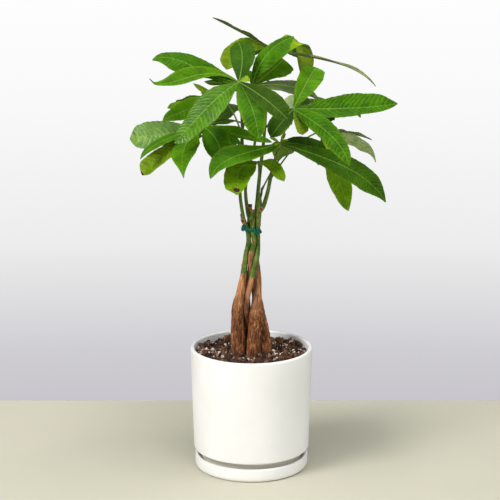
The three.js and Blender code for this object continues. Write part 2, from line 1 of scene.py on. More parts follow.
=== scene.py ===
"""A potted money tree: five plaited trunks, a tie, palmate leaves, bark mix, a white pot and its saucer.

Lengths are millimetres until a mesh is made. Every piece stands where its solid stands, from the same
named values.
"""

import math

import bmesh
import bpy
import numpy as np
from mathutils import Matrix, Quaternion, Vector, noise


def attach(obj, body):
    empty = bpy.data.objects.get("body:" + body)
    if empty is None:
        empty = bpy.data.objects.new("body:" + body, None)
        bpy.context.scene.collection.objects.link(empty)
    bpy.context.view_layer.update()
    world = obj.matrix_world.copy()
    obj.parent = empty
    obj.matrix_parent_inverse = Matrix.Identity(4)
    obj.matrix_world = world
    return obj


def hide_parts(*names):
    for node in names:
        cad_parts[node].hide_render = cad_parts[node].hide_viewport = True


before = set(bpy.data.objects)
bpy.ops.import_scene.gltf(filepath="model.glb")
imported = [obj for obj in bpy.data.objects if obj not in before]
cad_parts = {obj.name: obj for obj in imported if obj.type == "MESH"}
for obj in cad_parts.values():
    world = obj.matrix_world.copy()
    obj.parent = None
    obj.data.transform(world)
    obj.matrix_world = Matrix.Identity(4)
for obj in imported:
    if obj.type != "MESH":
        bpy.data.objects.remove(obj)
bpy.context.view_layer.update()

MM = 0.001
RANDOM = np.random.RandomState(11)

# ---- camera

camera = bpy.data.objects.new("camera", bpy.data.cameras.new("camera"))
bpy.context.scene.collection.objects.link(camera)
camera.location = (-0.0018, -2.183, 0.829)
camera.rotation_euler = (math.radians(76.2), 0, 0)
camera.data.lens = 124.85
camera.data.sensor_width = 36
bpy.context.scene.camera = camera
bpy.context.scene.view_settings.view_transform = "Standard"

# ---- numbers shared with the solids

SAUCER_RADIUS, SAUCER_HEIGHT, SAUCER_WALL, SAUCER_FLOOR, SAUCER_CORNER = 74.5, 18, 4.5, 5, 5
POT_RIM_RADIUS, POT_RIM_HEIGHT, POT_WALL, POT_LIP = 80, 163, 5.4, 2.2
POT_LOWER_RADIUS, POT_LOWER_EDGE, POT_EDGE_ROUND, POT_FOOT_RADIUS = 76, 25, 3, 66
POT_BASE, POT_INNER_FLOOR, DRAIN_RADIUS = 5.3, 12.3, 6
SOIL_LEVEL, SOIL_RELIEF = 153, 2.4
TIE_HEIGHT, TIE_BREADTH, TIE_SLANT = 321, 4.4, 0.2
TIE_KNOT_TURN, TIE_END_TURN = 208, 312
BLADE_FOLD = math.radians(10)
BLADE_WAVE, BLADE_WAVES, PETIOLE_RISE = 0.045, 1.7, 0.12
RIB_NEAR, RIB_FAR, RIB_PULL = 0.4, 0.73, 4 / 3

# One side of a blade: its share of the full half width at these shares of the way to the tip.
SHARES = [0, 0.15, 0.32, 0.48, 0.64, 0.8, 0.93, 1]
POINTED = [0.07, 0.34, 0.74, 0.96, 1, 0.8, 0.34, 0.04]
BLUNT = [0.07, 0.38, 0.73, 0.91, 0.99, 0.95, 0.65, 0.06]
LONG = [0.06, 0.2, 0.5, 0.85, 1, 0.82, 0.36, 0.04]
OVAL = [0.07, 0.53, 0.89, 1, 0.98, 0.82, 0.46, 0.06]
DRIP = [0.07, 0.36, 0.78, 1, 0.88, 0.42, 0.12, 0.03]
EARLY = [0.07, 0.66, 0.98, 0.97, 0.78, 0.57, 0.33, 0.04]
LATE = [0.06, 0.2, 0.45, 0.74, 0.94, 1, 0.76, 0.06]


def even(x, y, z, half, arch, tone, quilting, gloss, yellow, dry):
    """A leaflet with two like halves and a pointed tip, in the terms of the leaves below."""
    form = [half, half, arch, arch, 0, 0, 0, POINTED, POINTED]
    return [x, y, z, *form, tone, quilting, gloss, yellow, dry, 0]


TRUNKS = {
    "trunk_1": {
        "stem": [
            [-17, -4, 88, 7], [-17, -4, 118, 8.8], [-17, -4, 150, 9.4], [-17.8, -3.5, 182, 8.6],
            [-17.6, -3, 214, 8], [-13.6, -3.5, 237, 6], [-9.9, -1.5, 262, 4.2], [-6.8, -0.3, 287, 3.2],
            [-3.6, -2, 306, 3], [-5.2, -2.4, 321, 3], [-9.6, -4.4, 332, 3.1], [-12.2, -5.5, 342, 2.4],
        ],
        "shoots": [[
            [-9.8, -4.6, 333, 2.4], [-14.4, -8, 367, 2.1], [-13.4, -10, 413, 1.9], [-12, -12, 452, 1.7],
            [-12.4, -13, 474, 1.6],
        ]],
    },
    "trunk_2": {
        "stem": [
            [2, -12.4, 88, 7], [2, -12.4, 118, 8.6], [2, -12.4, 150, 9.4], [3.6, -11.4, 182, 8.4],
            [5.4, -9, 205, 7.6], [6.2, -7, 216, 7], [7.6, -3.4, 237, 5.8], [7.6, 0.4, 259, 4.7],
            [5.2, 4.6, 287, 3.4], [3.6, 5.6, 306, 3], [4.2, 5.4, 321, 3], [7, 8, 350, 2.6],
            [11, 13, 392, 2.3], [16, 22, 434, 2.1], [20, 42, 488, 1.9], [22, 52, 512, 1.6],
        ],
        "shoots": [],
    },
    "trunk_3": {
        "stem": [
            [18.6, -1, 88, 7], [18.6, -1, 118, 8.4], [18.6, -1, 150, 9], [15.4, 1.4, 182, 8],
            [9.4, 6.6, 214, 6.6], [5, 9.4, 237, 5], [0.6, 9.9, 262, 3.6], [-2.4, 7.2, 287, 3.2],
            [-3.2, 5, 306, 2.9], [-3, 5.4, 321, 3], [-2.2, 6, 340, 3], [-1.8, 6.4, 352, 2.5],
        ],
        "shoots": [[
            [-2.6, 6.2, 338, 1.9], [-6, 13, 352, 1.9], [-9, 20, 392, 1.8], [-11, 30, 424, 1.6],
            [-12, 36, 440, 1.4],
        ]],
    },
    "trunk_4": {
        "stem": [
            [10.4, 17.4, 88, 6.6], [10.4, 17.4, 118, 8], [9.6, 17.2, 150, 8.6], [2, 7.4, 178, 5],
            [-5.4, -1.6, 200, 2.9], [-6.8, -6.8, 212, 2.9], [-4.2, -11.6, 237, 3.4],
            [1.6, -9.6, 262, 3.6], [7.4, -4.4, 287, 3.4], [8.4, 1, 306, 3], [8, -1.8, 321, 3.4],
            [9.4, -5, 343, 3.8], [10, -5, 358, 3.5], [10.3, -5, 364, 2.4],
        ],
        "shoots": [
            [
                [9.4, -5, 343, 2.6], [15, -6.6, 352, 3], [20.6, -12, 371, 2.5], [24.2, -18, 391, 2.4],
                [30.4, -26, 418, 2.2], [34, -30, 431, 1.9],
            ],
            [[10.2, -5, 360, 2], [12.6, -2, 367, 1.6], [13.4, 0, 374, 1.4]],
        ],
    },
    "trunk_5": {
        "stem": [
            [-8.8, 15.4, 88, 7], [-8.8, 15.4, 118, 8.4], [-8.8, 15.4, 150, 9], [-9.6, 13.6, 182, 8],
            [-8.6, 10.8, 214, 6.4], [-6.4, 6.4, 237, 4.8], [-2.1, 2.6, 262, 3.3], [-0.2, -4.8, 287, 3.2],
            [3.4, -4.6, 306, 3.1], [1.4, -4.6, 321, 3.3], [1.2, -5, 334, 3.7], [1.4, -5, 347, 3.6],
        ],
        "shoots": [[
            [0.9, -4.6, 329, 2.4], [-3.6, -1.4, 337, 2.2], [-6, -0.6, 350, 2.1], [-7.6, 2, 372, 2],
            [-2, 8, 405, 1.9], [4.6, 9, 434, 1.8], [4, 8, 466, 1.6],
        ]],
    },
}

# Height at which each trunk's bark turns green, and how far the change spreads.
GREEN_FROM = {
    "trunk_1": (262, 10), "trunk_2": (296, 14), "trunk_3": (292, 16), "trunk_4": (257, 6),
    "trunk_5": (292, 12),
}
SHOOT_GREEN = (200, 10)

# Leaf scars and dry knobs on the stems: [x, y, z, size, lift].
SCARS = {
    "trunk_1": [
        [-9, -4, 296, 2.6, 0.5], [-12.5, -3, 273, 2.2, 1.1], [-11.5, -7, 333, 3.4, 0.9],
        [-8, -5, 312, 1.6, 0.3],
    ],
    "trunk_2": [[8.4, 2, 318, 1.8, 0.3], [9, 6, 345, 2, 0.3]],
    "trunk_3": [[-2, 6, 352, 6, 0.2], [-4, 8, 331, 2, 0.4]],
    "trunk_4": [
        [6.5, -8.5, 267, 1.7, 0.2], [10.6, -1.5, 287, 1.8, 0.8], [12.6, -7.5, 349, 3.2, 0.7],
        [8.5, -9, 334, 1.8, 0.4], [12, -4, 327, 1.8, 0.6], [6.5, -8, 341, 1.5, 0.3],
    ],
    "trunk_5": [
        [3, -8, 305, 2, 0.2], [-2, -8, 337, 2, 0.5], [4, -8, 332, 1.7, 0.4], [1.4, -5, 349, 4.4, 0.2],
    ],
}

# Leaf colours, as linear red, green and blue.
TONES = {
    "mid": (0.056, 0.195, 0.001),
    "deep": (0.042, 0.13, 0.002),
    "bright": (0.084, 0.25, 0.001),
    "fresh": (0.14, 0.3, 0.006),
    "lime": (0.27, 0.44, 0.01),
    "olive": (0.142, 0.31, 0.001),
    "moss": (0.2, 0.35, 0.01),
    "grey": (0.12, 0.175, 0.06),
    "ash": (0.26, 0.3, 0.15),
    "silver": (0.5, 0.64, 0.28),
    "haze": (0.24, 0.32, 0.13),
    "sheen": (0.17, 0.34, 0.062),
    "blue": (0.035, 0.112, 0.004),
    "shade": (0.034, 0.092, 0.003),
}

# One leaf: the point on its stem where it grows, its hub, the way its upper faces look, its leaflets.
# One leaflet: tip x, y, z, left, right half width, arch near, far, bend near, far, roll, left, right
# outline, tone, quilting, gloss, yellow edge, dry tip, hook.
LEAVES = {
    "leaf_top_front": ([-12.4, -13, 470], [-16, -15, 514], [-0.1, -0.75, 0.65], [
        [-125, -10, 542, 18, 14, 6, 8, -10, 13, 0, LONG, EARLY, "mid", 0.8, 0.2, 0.1, 0.3, 1],
        [-129, -60, 521, 8, 13, 12, -8, 19, -8, 0, DRIP, DRIP, "bright", 0.6, 0.35, 0.4, 1.8, -4],
        [-94, -95, 451, 22, 16, 8, 8, 3, -3, 0, OVAL, EARLY, "bright", 1.15, 1, 0.15, 0.1, 1],
        [-18, 40, 558, 15, 17, 5, 5, 6, 6, 0, OVAL, OVAL, "blue", 0.5, 0.1, 0, 0, 0],
        [44, -72, 477, 15, 13, 8, 8, 0, 0, 0, BLUNT, BLUNT, "shade", 0.5, 0.3, 0.1, 0, 0],
        [9, -70, 452, 20, 17, 10, 10, -4, -4, 0, EARLY, OVAL, "mid", 0.7, 0.3, 0.4, 0, 0],
        [-60, 5, 512, 5, 4, 1, 1, -2, -2, 0, POINTED, POINTED, "deep", 0.4, 0.2, 0.1, 0, 0],
    ]),
    "leaf_right_front": ([28, -23, 409], [53, -20, 481], [0.1, -0.75, 0.65], [
        [183, -30, 489, 20, 15, 2, 2, 4, 5, 0, POINTED, EARLY, "mid", 1.1, 0.4, 0.1, 0.3, 0],
        [120, -90, 422, 14, 15, 8, 10, -3, -9, 0, EARLY, OVAL, "mid", 1, 0.3, 0.2, 0, 0],
        [82, 20, 528, 14, 17, 6, 6, 0, 0, 0, BLUNT, BLUNT, "bright", 0.5, 0.4, 0.1, 0, 0],
        [48, -8, 496, 10, 10, 3, 3, 0, 0, 150, BLUNT, BLUNT, "silver", 0.4, 0.1, 0, 0, 0],
        [24, -54, 451, 12, 14, 3, 3, 0, 0, 0, OVAL, OVAL, "blue", 0.4, 0.1, 0.2, 0, 0],
        [64, -45, 452, 10, 7, 4, 4, 0, 0, 0, BLUNT, BLUNT, "moss", 0.4, 0.1, 0.3, 0, 0],
    ]),
    "leaf_low_right": ([32, -27.8, 424], [36, -30, 439], [0, -0.7, 0.7], [
        [-51, -90, 407, 15, 17, 6, 8, -1, 13, 0, EARLY, LONG, "mid", 0.6, 0.3, 0.3, 0.1, 2],
        [169, -50, 367, 16, 19, 14, 14, -2, -13, 0, POINTED, POINTED, "deep", 0.8, 0.35, 0.1, 0.1, 0],
        [100, 10, 418, 13, 9, 8, 4, 0, 0, 0, OVAL, OVAL, "deep", 0.5, 0.2, 0.1, 0, 0],
    ]),
    "leaf_low_front": ([10.2, -5, 362], [9, -15, 412], [0, -0.6, 0.8], [
        [-18, -85, 384, 20, 18, 6, 6, 20, 3, 0, EARLY, BLUNT, "olive", 0.4, 0.25, 0.3, 0, 0],
        [41, -50, 394, 10.5, 9, 5, 6, -3, -3, 0, EARLY, BLUNT, "olive", 0.3, 0.2, 0.2, 0.5, 0],
    ]),
    "leaf_left_front": ([-13, -11, 432], [-60, -25, 458], [-0.3, -0.6, 0.75], [
        [-151, -60, 452, 21, 18, 4, 4, -4, -4, -18, LATE, BLUNT, "sheen", 0.95, 1, 0.1, 0, 3],
        [-136, -95, 431, 9, 7, 6, 4, 2, 10, 0, POINTED, POINTED, "mid", 0.4, 0.4, 0.4, 0.2, 0],
        [-136, -70, 406, 15, 14, 12, 12, -12, -3, 0, BLUNT, LATE, "moss", 0.6, 0.4, 0.3, 1.5, 0],
        [-83, -108, 410, 22, 15, 8, 8, 14, 6, 0, DRIP, DRIP, "bright", 0.7, 0.5, 0.2, 0.1, 0],
        [-35, -60, 419, 16, 18, 8, 8, -7, -5, 0, OVAL, OVAL, "mid", 0.5, 0.2, 0.1, 0, 0],
        [26, -20, 438, 11, 6, 0, 0, 0, 0, 0, EARLY, POINTED, "bright", 0.5, 0.6, 0.1, 0, 0],
        [-7, 40, 449, 4, 16, 6, 8, -3, -3, 0, POINTED, POINTED, "deep", 0.5, 0.5, 0.1, 0, 0],
        [-13, -30, 439, 5, 10, 3, 3, 0, 0, 0, POINTED, POINTED, "mid", 0.4, 0.3, 0.1, 0, 0],
    ]),
    "leaf_left_middle": ([-12.2, -12, 448], [-33, 20, 484], [-0.2, -0.5, 0.85], [
        [-111, -30, 468, 20, 15, 2, 2, 4, 3, -22, EARLY, EARLY, "bright", 0.5, 0.3, 0.2, 0, 0],
        [-75, 35, 505, 4, 3.5, 2, 2, 0, 0, -55, POINTED, POINTED, "moss", 0.4, 0.2, 0.2, 0, 0],
        [-107, 5, 478, 8, 8, 2, 2, 0, 0, 0, BLUNT, BLUNT, "fresh", 0.4, 0.2, 0.4, 0, 0],
        [-55, 30, 458, 12, 8, 2, 2, -3, -3, 0, OVAL, POINTED, "deep", 0.5, 0.2, 0.1, 0, 0],
    ]),
    "leaf_top_middle": ([4, 8, 462], [1, 5, 507], [0.1, -0.6, 0.8], [
        [54, 20, 567, 9, 22, 7, 7, -10, -8, 0, EARLY, POINTED, "mid", 0.6, 0.6, 0.1, 0, 0],
        [69, 118, 497, 17, 16, 74, 44, -4, -4, 0, BLUNT, BLUNT, "lime", 0.4, 0.2, 0.2, 0, 0],
        [42, 50, 534, 12, 20, 4, 4, 3, 0, 20, LATE, LATE, "bright", 0.4, 0.2, 0.1, 0, 0],
        [87, 24, 486, 10, 15, 8, 8, -4, -4, 0, POINTED, EARLY, "grey", 0.4, 0.1, 0.1, 0, 0],
        even(0, 92, 510, 16, 8, "mid", 0.5, 0.2, 0.1, 0),
    ]),
    "leaf_top_back": ([22, 52, 508], [27, 70, 546], [0, 0.12, 1], [
        [-50, 60, 587, 13, 13, 0, 0, -2.5, -2.5, 0, POINTED, POINTED, "grey", 0.4, 0.1, 0.1, 0, 0],
        [160, 30, 502, 9, 10, 4, 17, 0, 0, 4, POINTED, POINTED, "ash", 0.4, 0.1, 0.1, 0, 0],
        [-32, 62, 519, 15.5, 15.5, 6, 6, 15, 14, -60, BLUNT, BLUNT, "moss", 0.5, 0.1, 0.1, 0, 0],
        even(70, 165, 518, 17, 5, "mid", 0.6, 0.3, 0.1, 0),
        even(-5, 172, 520, 17, 3, "mid", 0.6, 0.3, 0.1, 0),
    ]),
    "leaf_right_back": ([24.2, -18, 391], [92, 50, 442], [0.2, -0.4, 0.9], [
        [160, 10, 407, 13, 18, 8, 8, 10, -14, 0, DRIP, DRIP, "haze", 0.4, 0.1, 0.1, 0, 0],
        [158, 60, 427, 13, 13, 3, 3, 3, 3, -28, POINTED, POINTED, "grey", 0.4, 0.1, 0.1, 0, 0],
        [125, -5, 346, 14, 18, 8, 8, 4, 4, 0, LONG, OVAL, "olive", 0.4, 0.2, 0.3, 0, 0],
        [114, 25, 408, 11, 12, 5, 5, 4, 4, 0, OVAL, OVAL, "lime", 0.3, 0.2, 0.2, 0, 0],
        even(94, 150, 440, 17, 8, "mid", 0.6, 0.3, 0.1, 0),
    ]),
    "leaf_back_left": ([3.4, 8.6, 452], [-45, 65, 478], [-0.2, 0.4, 0.9], [
        even(-100, 75, 456, 15, 8, "mid", 0.6, 0.4, 0.1, 0),
        even(-98, 135, 450, 17, 12, "bright", 0.8, 0.6, 0.2, 0.1),
        even(-48, 170, 458, 18, 14, "mid", 0.8, 0.4, 0.1, 0),
        even(8, 142, 474, 16, 10, "mid", 0.6, 0.3, 0.1, 0),
    ]),
    "leaf_back_right": ([17, 28, 448], [80, 80, 470], [0.3, 0.4, 0.9], [
        even(140, 62, 462, 15, 4, "mid", 0.6, 0.3, 0.1, 0),
        even(146, 112, 448, 17, 10, "mid", 0.8, 0.5, 0.1, 0),
        even(118, 168, 442, 18, 14, "bright", 0.7, 0.4, 0.3, 0.2),
        even(64, 178, 450, 17, 12, "mid", 0.6, 0.3, 0.1, 0),
    ]),
    "leaf_back_middle": ([-12, 36, 439], [-2, 85, 464], [0, 0.5, 0.85], [
        even(-52, 160, 428, 17, 12, "mid", 0.6, 0.4, 0.2, 0),
        even(2, 186, 430, 18, 14, "bright", 0.9, 0.6, 0.2, 0.1),
        even(55, 150, 432, 17, 12, "mid", 0.6, 0.3, 0.1, 0),
    ]),
    "leaf_back_left_low": ([-11, 30, 424], [-60, 60, 436], [-0.3, 0.3, 0.9], [
        even(-118, 62, 423, 15, 8, "mid", 0.6, 0.4, 0.2, 0.1),
        even(-116, 118, 404, 17, 12, "deep", 0.6, 0.4, 0.1, 0),
        even(-86, 148, 396, 18, 14, "mid", 0.8, 0.5, 0.2, 0.3),
        even(-22, 120, 400, 15, 10, "mid", 0.6, 0.3, 0.1, 0),
        even(-88, 20, 398, 14, 8, "deep", 0.5, 0.3, 0.1, 0),
    ]),
    "leaf_back_right_low": ([13.4, 0, 373], [58, 75, 414], [0.2, 0.4, 0.9], [
        even(118, 100, 392, 16, 10, "mid", 0.6, 0.4, 0.2, 0.1),
        even(92, 150, 376, 18, 14, "mid", 0.8, 0.5, 0.1, 0),
        even(34, 150, 382, 17, 12, "olive", 0.5, 0.3, 0.3, 0.2),
    ]),
}

# Young leaflets that are still unfolding at a hub, in the same terms as the others.
YOUNG = {
    "leaf_top_front": [
        [-2, -12, 518, 4.5, 4.5, 1, 1, 0, 0, 0, BLUNT, BLUNT, "lime", 0.4, 0.2, 0.1, 0, 0],
        [8, -40, 486, 6, 10, 3, 3, 0, 0, 0, OVAL, OVAL, "bright", 0.4, 0.2, 0.1, 0, 0],
    ],
    "leaf_low_right": [
        even(43, -34, 452, 2.5, 1, "lime", 0.2, 0.2, 0.1, 0),
        even(23, -34, 447, 2.5, 1, "lime", 0.2, 0.2, 0.1, 0),
        even(28, -37, 436, 2, 1, "lime", 0.2, 0.2, 0.1, 0),
        even(46, -36, 444, 2, 1, "lime", 0.2, 0.2, 0.1, 0),
    ],
}

# Dry spots on a leaflet: leaf, leaflet, place along, place across, size in mm.
SPOTS = [("leaf_low_front", 0, 0.9, 0.12, 5.0)]


# ---- geometry helpers

def unit(v):
    v = np.asarray(v, float)
    return v / np.linalg.norm(v, axis=-1, keepdims=True)


def ease(low, high, x):
    t = np.clip((np.asarray(x, float) - low) / (high - low), 0, 1)
    return t * t * (3 - 2 * t)


def wobble(points, scale, offset=0.0):
    """Smooth noise between about -1 and 1 at each point."""
    shift = Vector((offset, offset * 0.7, -offset))
    return np.array([noise.noise(Vector(p * scale) + shift) for p in points])


def new_object(name, data):
    made = bpy.data.objects.new(name, data)
    bpy.context.scene.collection.objects.link(made)
    return made


class Shape:
    """Points in millimetres, faces, and named triples carried by the points, gathered into one piece."""

    def __init__(self, *traits):
        self.points, self.faces, self.looks = [], [], []
        self.traits = {name: [] for name in traits}
        self.count = 0

    def add(self, points, faces, look=0, **traits):
        points = np.asarray(points, float).reshape(-1, 3)
        self.faces += [tuple(i + self.count for i in face) for face in faces]
        self.looks += [look] * len(faces)
        self.points.append(points)
        for name, rows in self.traits.items():
            rows.append(np.broadcast_to(np.asarray(traits.get(name, (0, 0, 0)), float), points.shape))
        self.count += len(points)

    def build(self, name, materials, node=None):
        mesh = bpy.data.meshes.new(name)
        mesh.from_pydata((np.vstack(self.points) * MM).tolist(), [], self.faces)
        for trait, rows in self.traits.items():
            attribute = mesh.attributes.new(trait, "FLOAT_VECTOR", "POINT")
            attribute.data.foreach_set("vector", np.vstack(rows).astype(np.float32).ravel())
        for material in materials:
            mesh.materials.append(material)
        mesh.polygons.foreach_set("material_index", self.looks)
        mesh.polygons.foreach_set("use_smooth", [True] * len(self.faces))
        mesh.update()
        piece = new_object(name, mesh)
        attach(piece, "root")
        if node:
            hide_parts(node)


def circle(sides):
    return np.linspace(0, 2 * np.pi, sides, endpoint=False)


def ring(radius, height, sides):
    """Points on a level circle about the Z axis."""
    turn = circle(sides)
    return np.column_stack([radius * np.cos(turn), radius * np.sin(turn), np.full(sides, height, float)])


def run_along(points):
    """How far each point of a line is from its start."""
    return np.concatenate([[0], np.cumsum(np.linalg.norm(np.diff(points, axis=0), axis=1))])


def grid_faces(rows, columns, wrap=False, flip=False):
    faces = []
    for i in range(rows - 1):
        for k in range(columns if wrap else columns - 1):
            a, b = i * columns + k, i * columns + (k + 1) % columns
            quad = (a, b, b + columns, a + columns)
            faces.append(quad[::-1] if flip else quad)
    return faces


def tube_faces(rows, sides):
    """Faces round and along a tube of rings, with both ends closed."""
    last = (rows - 1) * sides
    ends = [tuple(range(sides - 1, -1, -1)), tuple(range(last, last + sides))]
    return grid_faces(rows, sides, wrap=True) + ends


def spline(stations, steps):
    """Points, tangents and radii on a centripetal curve through stations [x, y, z, radius]."""
    table = np.array(stations, float)
    q = table[:, :3]
    q = np.vstack([2 * q[0] - q[1], q, 2 * q[-1] - q[-2]])
    points, tangents, radii = [], [], []
    for i in range(len(table) - 1):
        p0, p1, p2, p3 = q[i:i + 4]
        d0, d1, d2 = (np.linalg.norm(b - a) ** 0.5 for a, b in ((p0, p1), (p1, p2), (p2, p3)))
        m1 = ((p1 - p0) / d0 - (p2 - p0) / (d0 + d1) + (p2 - p1) / d1) * d1
        m2 = ((p2 - p1) / d1 - (p3 - p1) / (d1 + d2) + (p3 - p2) / d2) * d1
        last = i == len(table) - 2
        for t in np.linspace(0, 1, steps + 1)[:steps + last]:
            c2, c3 = -3 * p1 + 3 * p2 - 2 * m1 - m2, 2 * p1 - 2 * p2 + m1 + m2
            points.append(p1 + m1 * t + c2 * t * t + c3 * t ** 3)
            tangents.append(m1 + 2 * c2 * t + 3 * c3 * t * t)
            radii.append(table[i, 3] + (table[i + 1, 3] - table[i, 3]) * t)
    radii = np.array(radii)
    window = 2 * (steps // 2) + 1
    soft = np.convolve(np.pad(radii, steps // 2, mode="edge"), np.ones(window), "valid") / window
    return np.array(points), unit(tangents), soft


def frames(tangents):
    """Two directions across each tangent that turn as little as possible along the curve."""
    across, out = np.array([0.0, 1.0, 0.0]), []
    for t in tangents:
        across = unit(across - t * across.dot(t))
        out.append(across)
    out = np.array(out)
    return out, np.cross(tangents, out)


def arc(radius, height, size, start, end, steps=8):
    turns = np.radians(np.linspace(start, end, steps + 1))
    return [(radius + size * math.cos(a), height + size * math.sin(a)) for a in turns]


def densely(profile, longest):
    """The profile with its long straight runs cut into steps."""
    out = [profile[0]]
    for a, b in zip(profile, profile[1:]):
        n = max(1, math.ceil(math.dist(a, b) / longest))
        out += [(a[0] + (b[0] - a[0]) * k / n, a[1] + (b[1] - a[1]) * k / n) for k in range(1, n + 1)]
    return out


# ---- material helpers

class Look:
    """The node tree of a material or world, with short calls for the nodes that are used below."""

    def __init__(self, owner):
        owner.use_nodes = True
        self.owner, self.tree = owner, owner.node_tree

    def put(self, socket, value):
        if isinstance(value, bpy.types.NodeSocket):
            self.tree.links.new(value, socket)
        elif isinstance(value, (tuple, list)) and len(value) == 3 and socket.type == "RGBA":
            socket.default_value = (*value, 1)
        else:
            socket.default_value = value

    def node(self, kind, values=(), **settings):
        made = self.tree.nodes.new("ShaderNode" + kind)
        for key, value in settings.items():
            setattr(made, key, value)
        for key, value in dict(values).items():
            self.put(made.inputs[key], value)
        return made

    def trait(self, name, output="Vector"):
        return self.node("Attribute", attribute_name=name).outputs[output]

    def place(self):
        return self.node("TexCoord").outputs["Object"]

    def split(self, vector):
        return self.node("SeparateXYZ", {0: vector}).outputs

    def math(self, operation, a, b=0.0, clamp=False):
        return self.node("Math", {0: a, 1: b}, operation=operation, use_clamp=clamp).outputs[0]

    def span(self, value, low, high, to_low=0.0, to_high=1.0):
        """The value's way from low to high, eased, as a way from to_low to to_high."""
        values = {"Value": value, "From Min": low, "From Max": high, "To Min": to_low, "To Max": to_high}
        return self.node("MapRange", values, interpolation_type="SMOOTHSTEP").outputs[0]

    def mix(self, factor, a, b, blend="MIX"):
        made = self.node("Mix", data_type="RGBA", blend_type=blend)
        for index, value in ((0, factor), (6, a), (7, b)):
            self.put(made.inputs[index], value)
        return made.outputs[2]

    def tint(self, factor, colour, by):
        """The colour multiplied by another, as far as the factor says."""
        return self.mix(factor, colour, self.mix(1.0, colour, by, "MULTIPLY"))

    def times(self, a, b, clamp=False):
        return self.math("MULTIPLY", a, b, clamp)

    def ruffle(self, value, cloud, amount):
        """The value pushed up and down by a noise around one half."""
        return self.math("ADD", value, self.times(self.math("SUBTRACT", cloud, 0.5), amount))

    def stretch(self, vector, along):
        """The vector with its third part scaled, so that a noise on it runs along a stem."""
        values = {0: vector, 1: (1, 1, along)}
        return self.node("VectorMath", values, operation="MULTIPLY").outputs[0]

    def noise(self, vector, scale, detail, rough, warp=0.0):
        values = {"Vector": vector, "Scale": scale, "Detail": detail, "Roughness": rough}
        return self.node("TexNoise", {**values, "Distortion": warp}).outputs["Fac"]

    def cells(self, vector, scale, feature="F1"):
        values = {"Vector": vector, "Scale": scale}
        return self.node("TexVoronoi", values, feature=feature).outputs["Distance"]

    def bump(self, height, strength, distance, below=None):
        values = {"Height": height, "Strength": strength, "Distance": distance}
        if below is not None:
            values["Normal"] = below
        return self.node("Bump", values).outputs[0]

    def finish(self, **sockets):
        for name, value in sockets.items():
            self.put(self.tree.nodes["Principled BSDF"].inputs[name.replace("_", " ")], value)
        return self.owner


def new_look(name):
    return Look(bpy.data.materials.new(name))


LEAF_GLOW = 0.27  # share of the light that a blade lets through


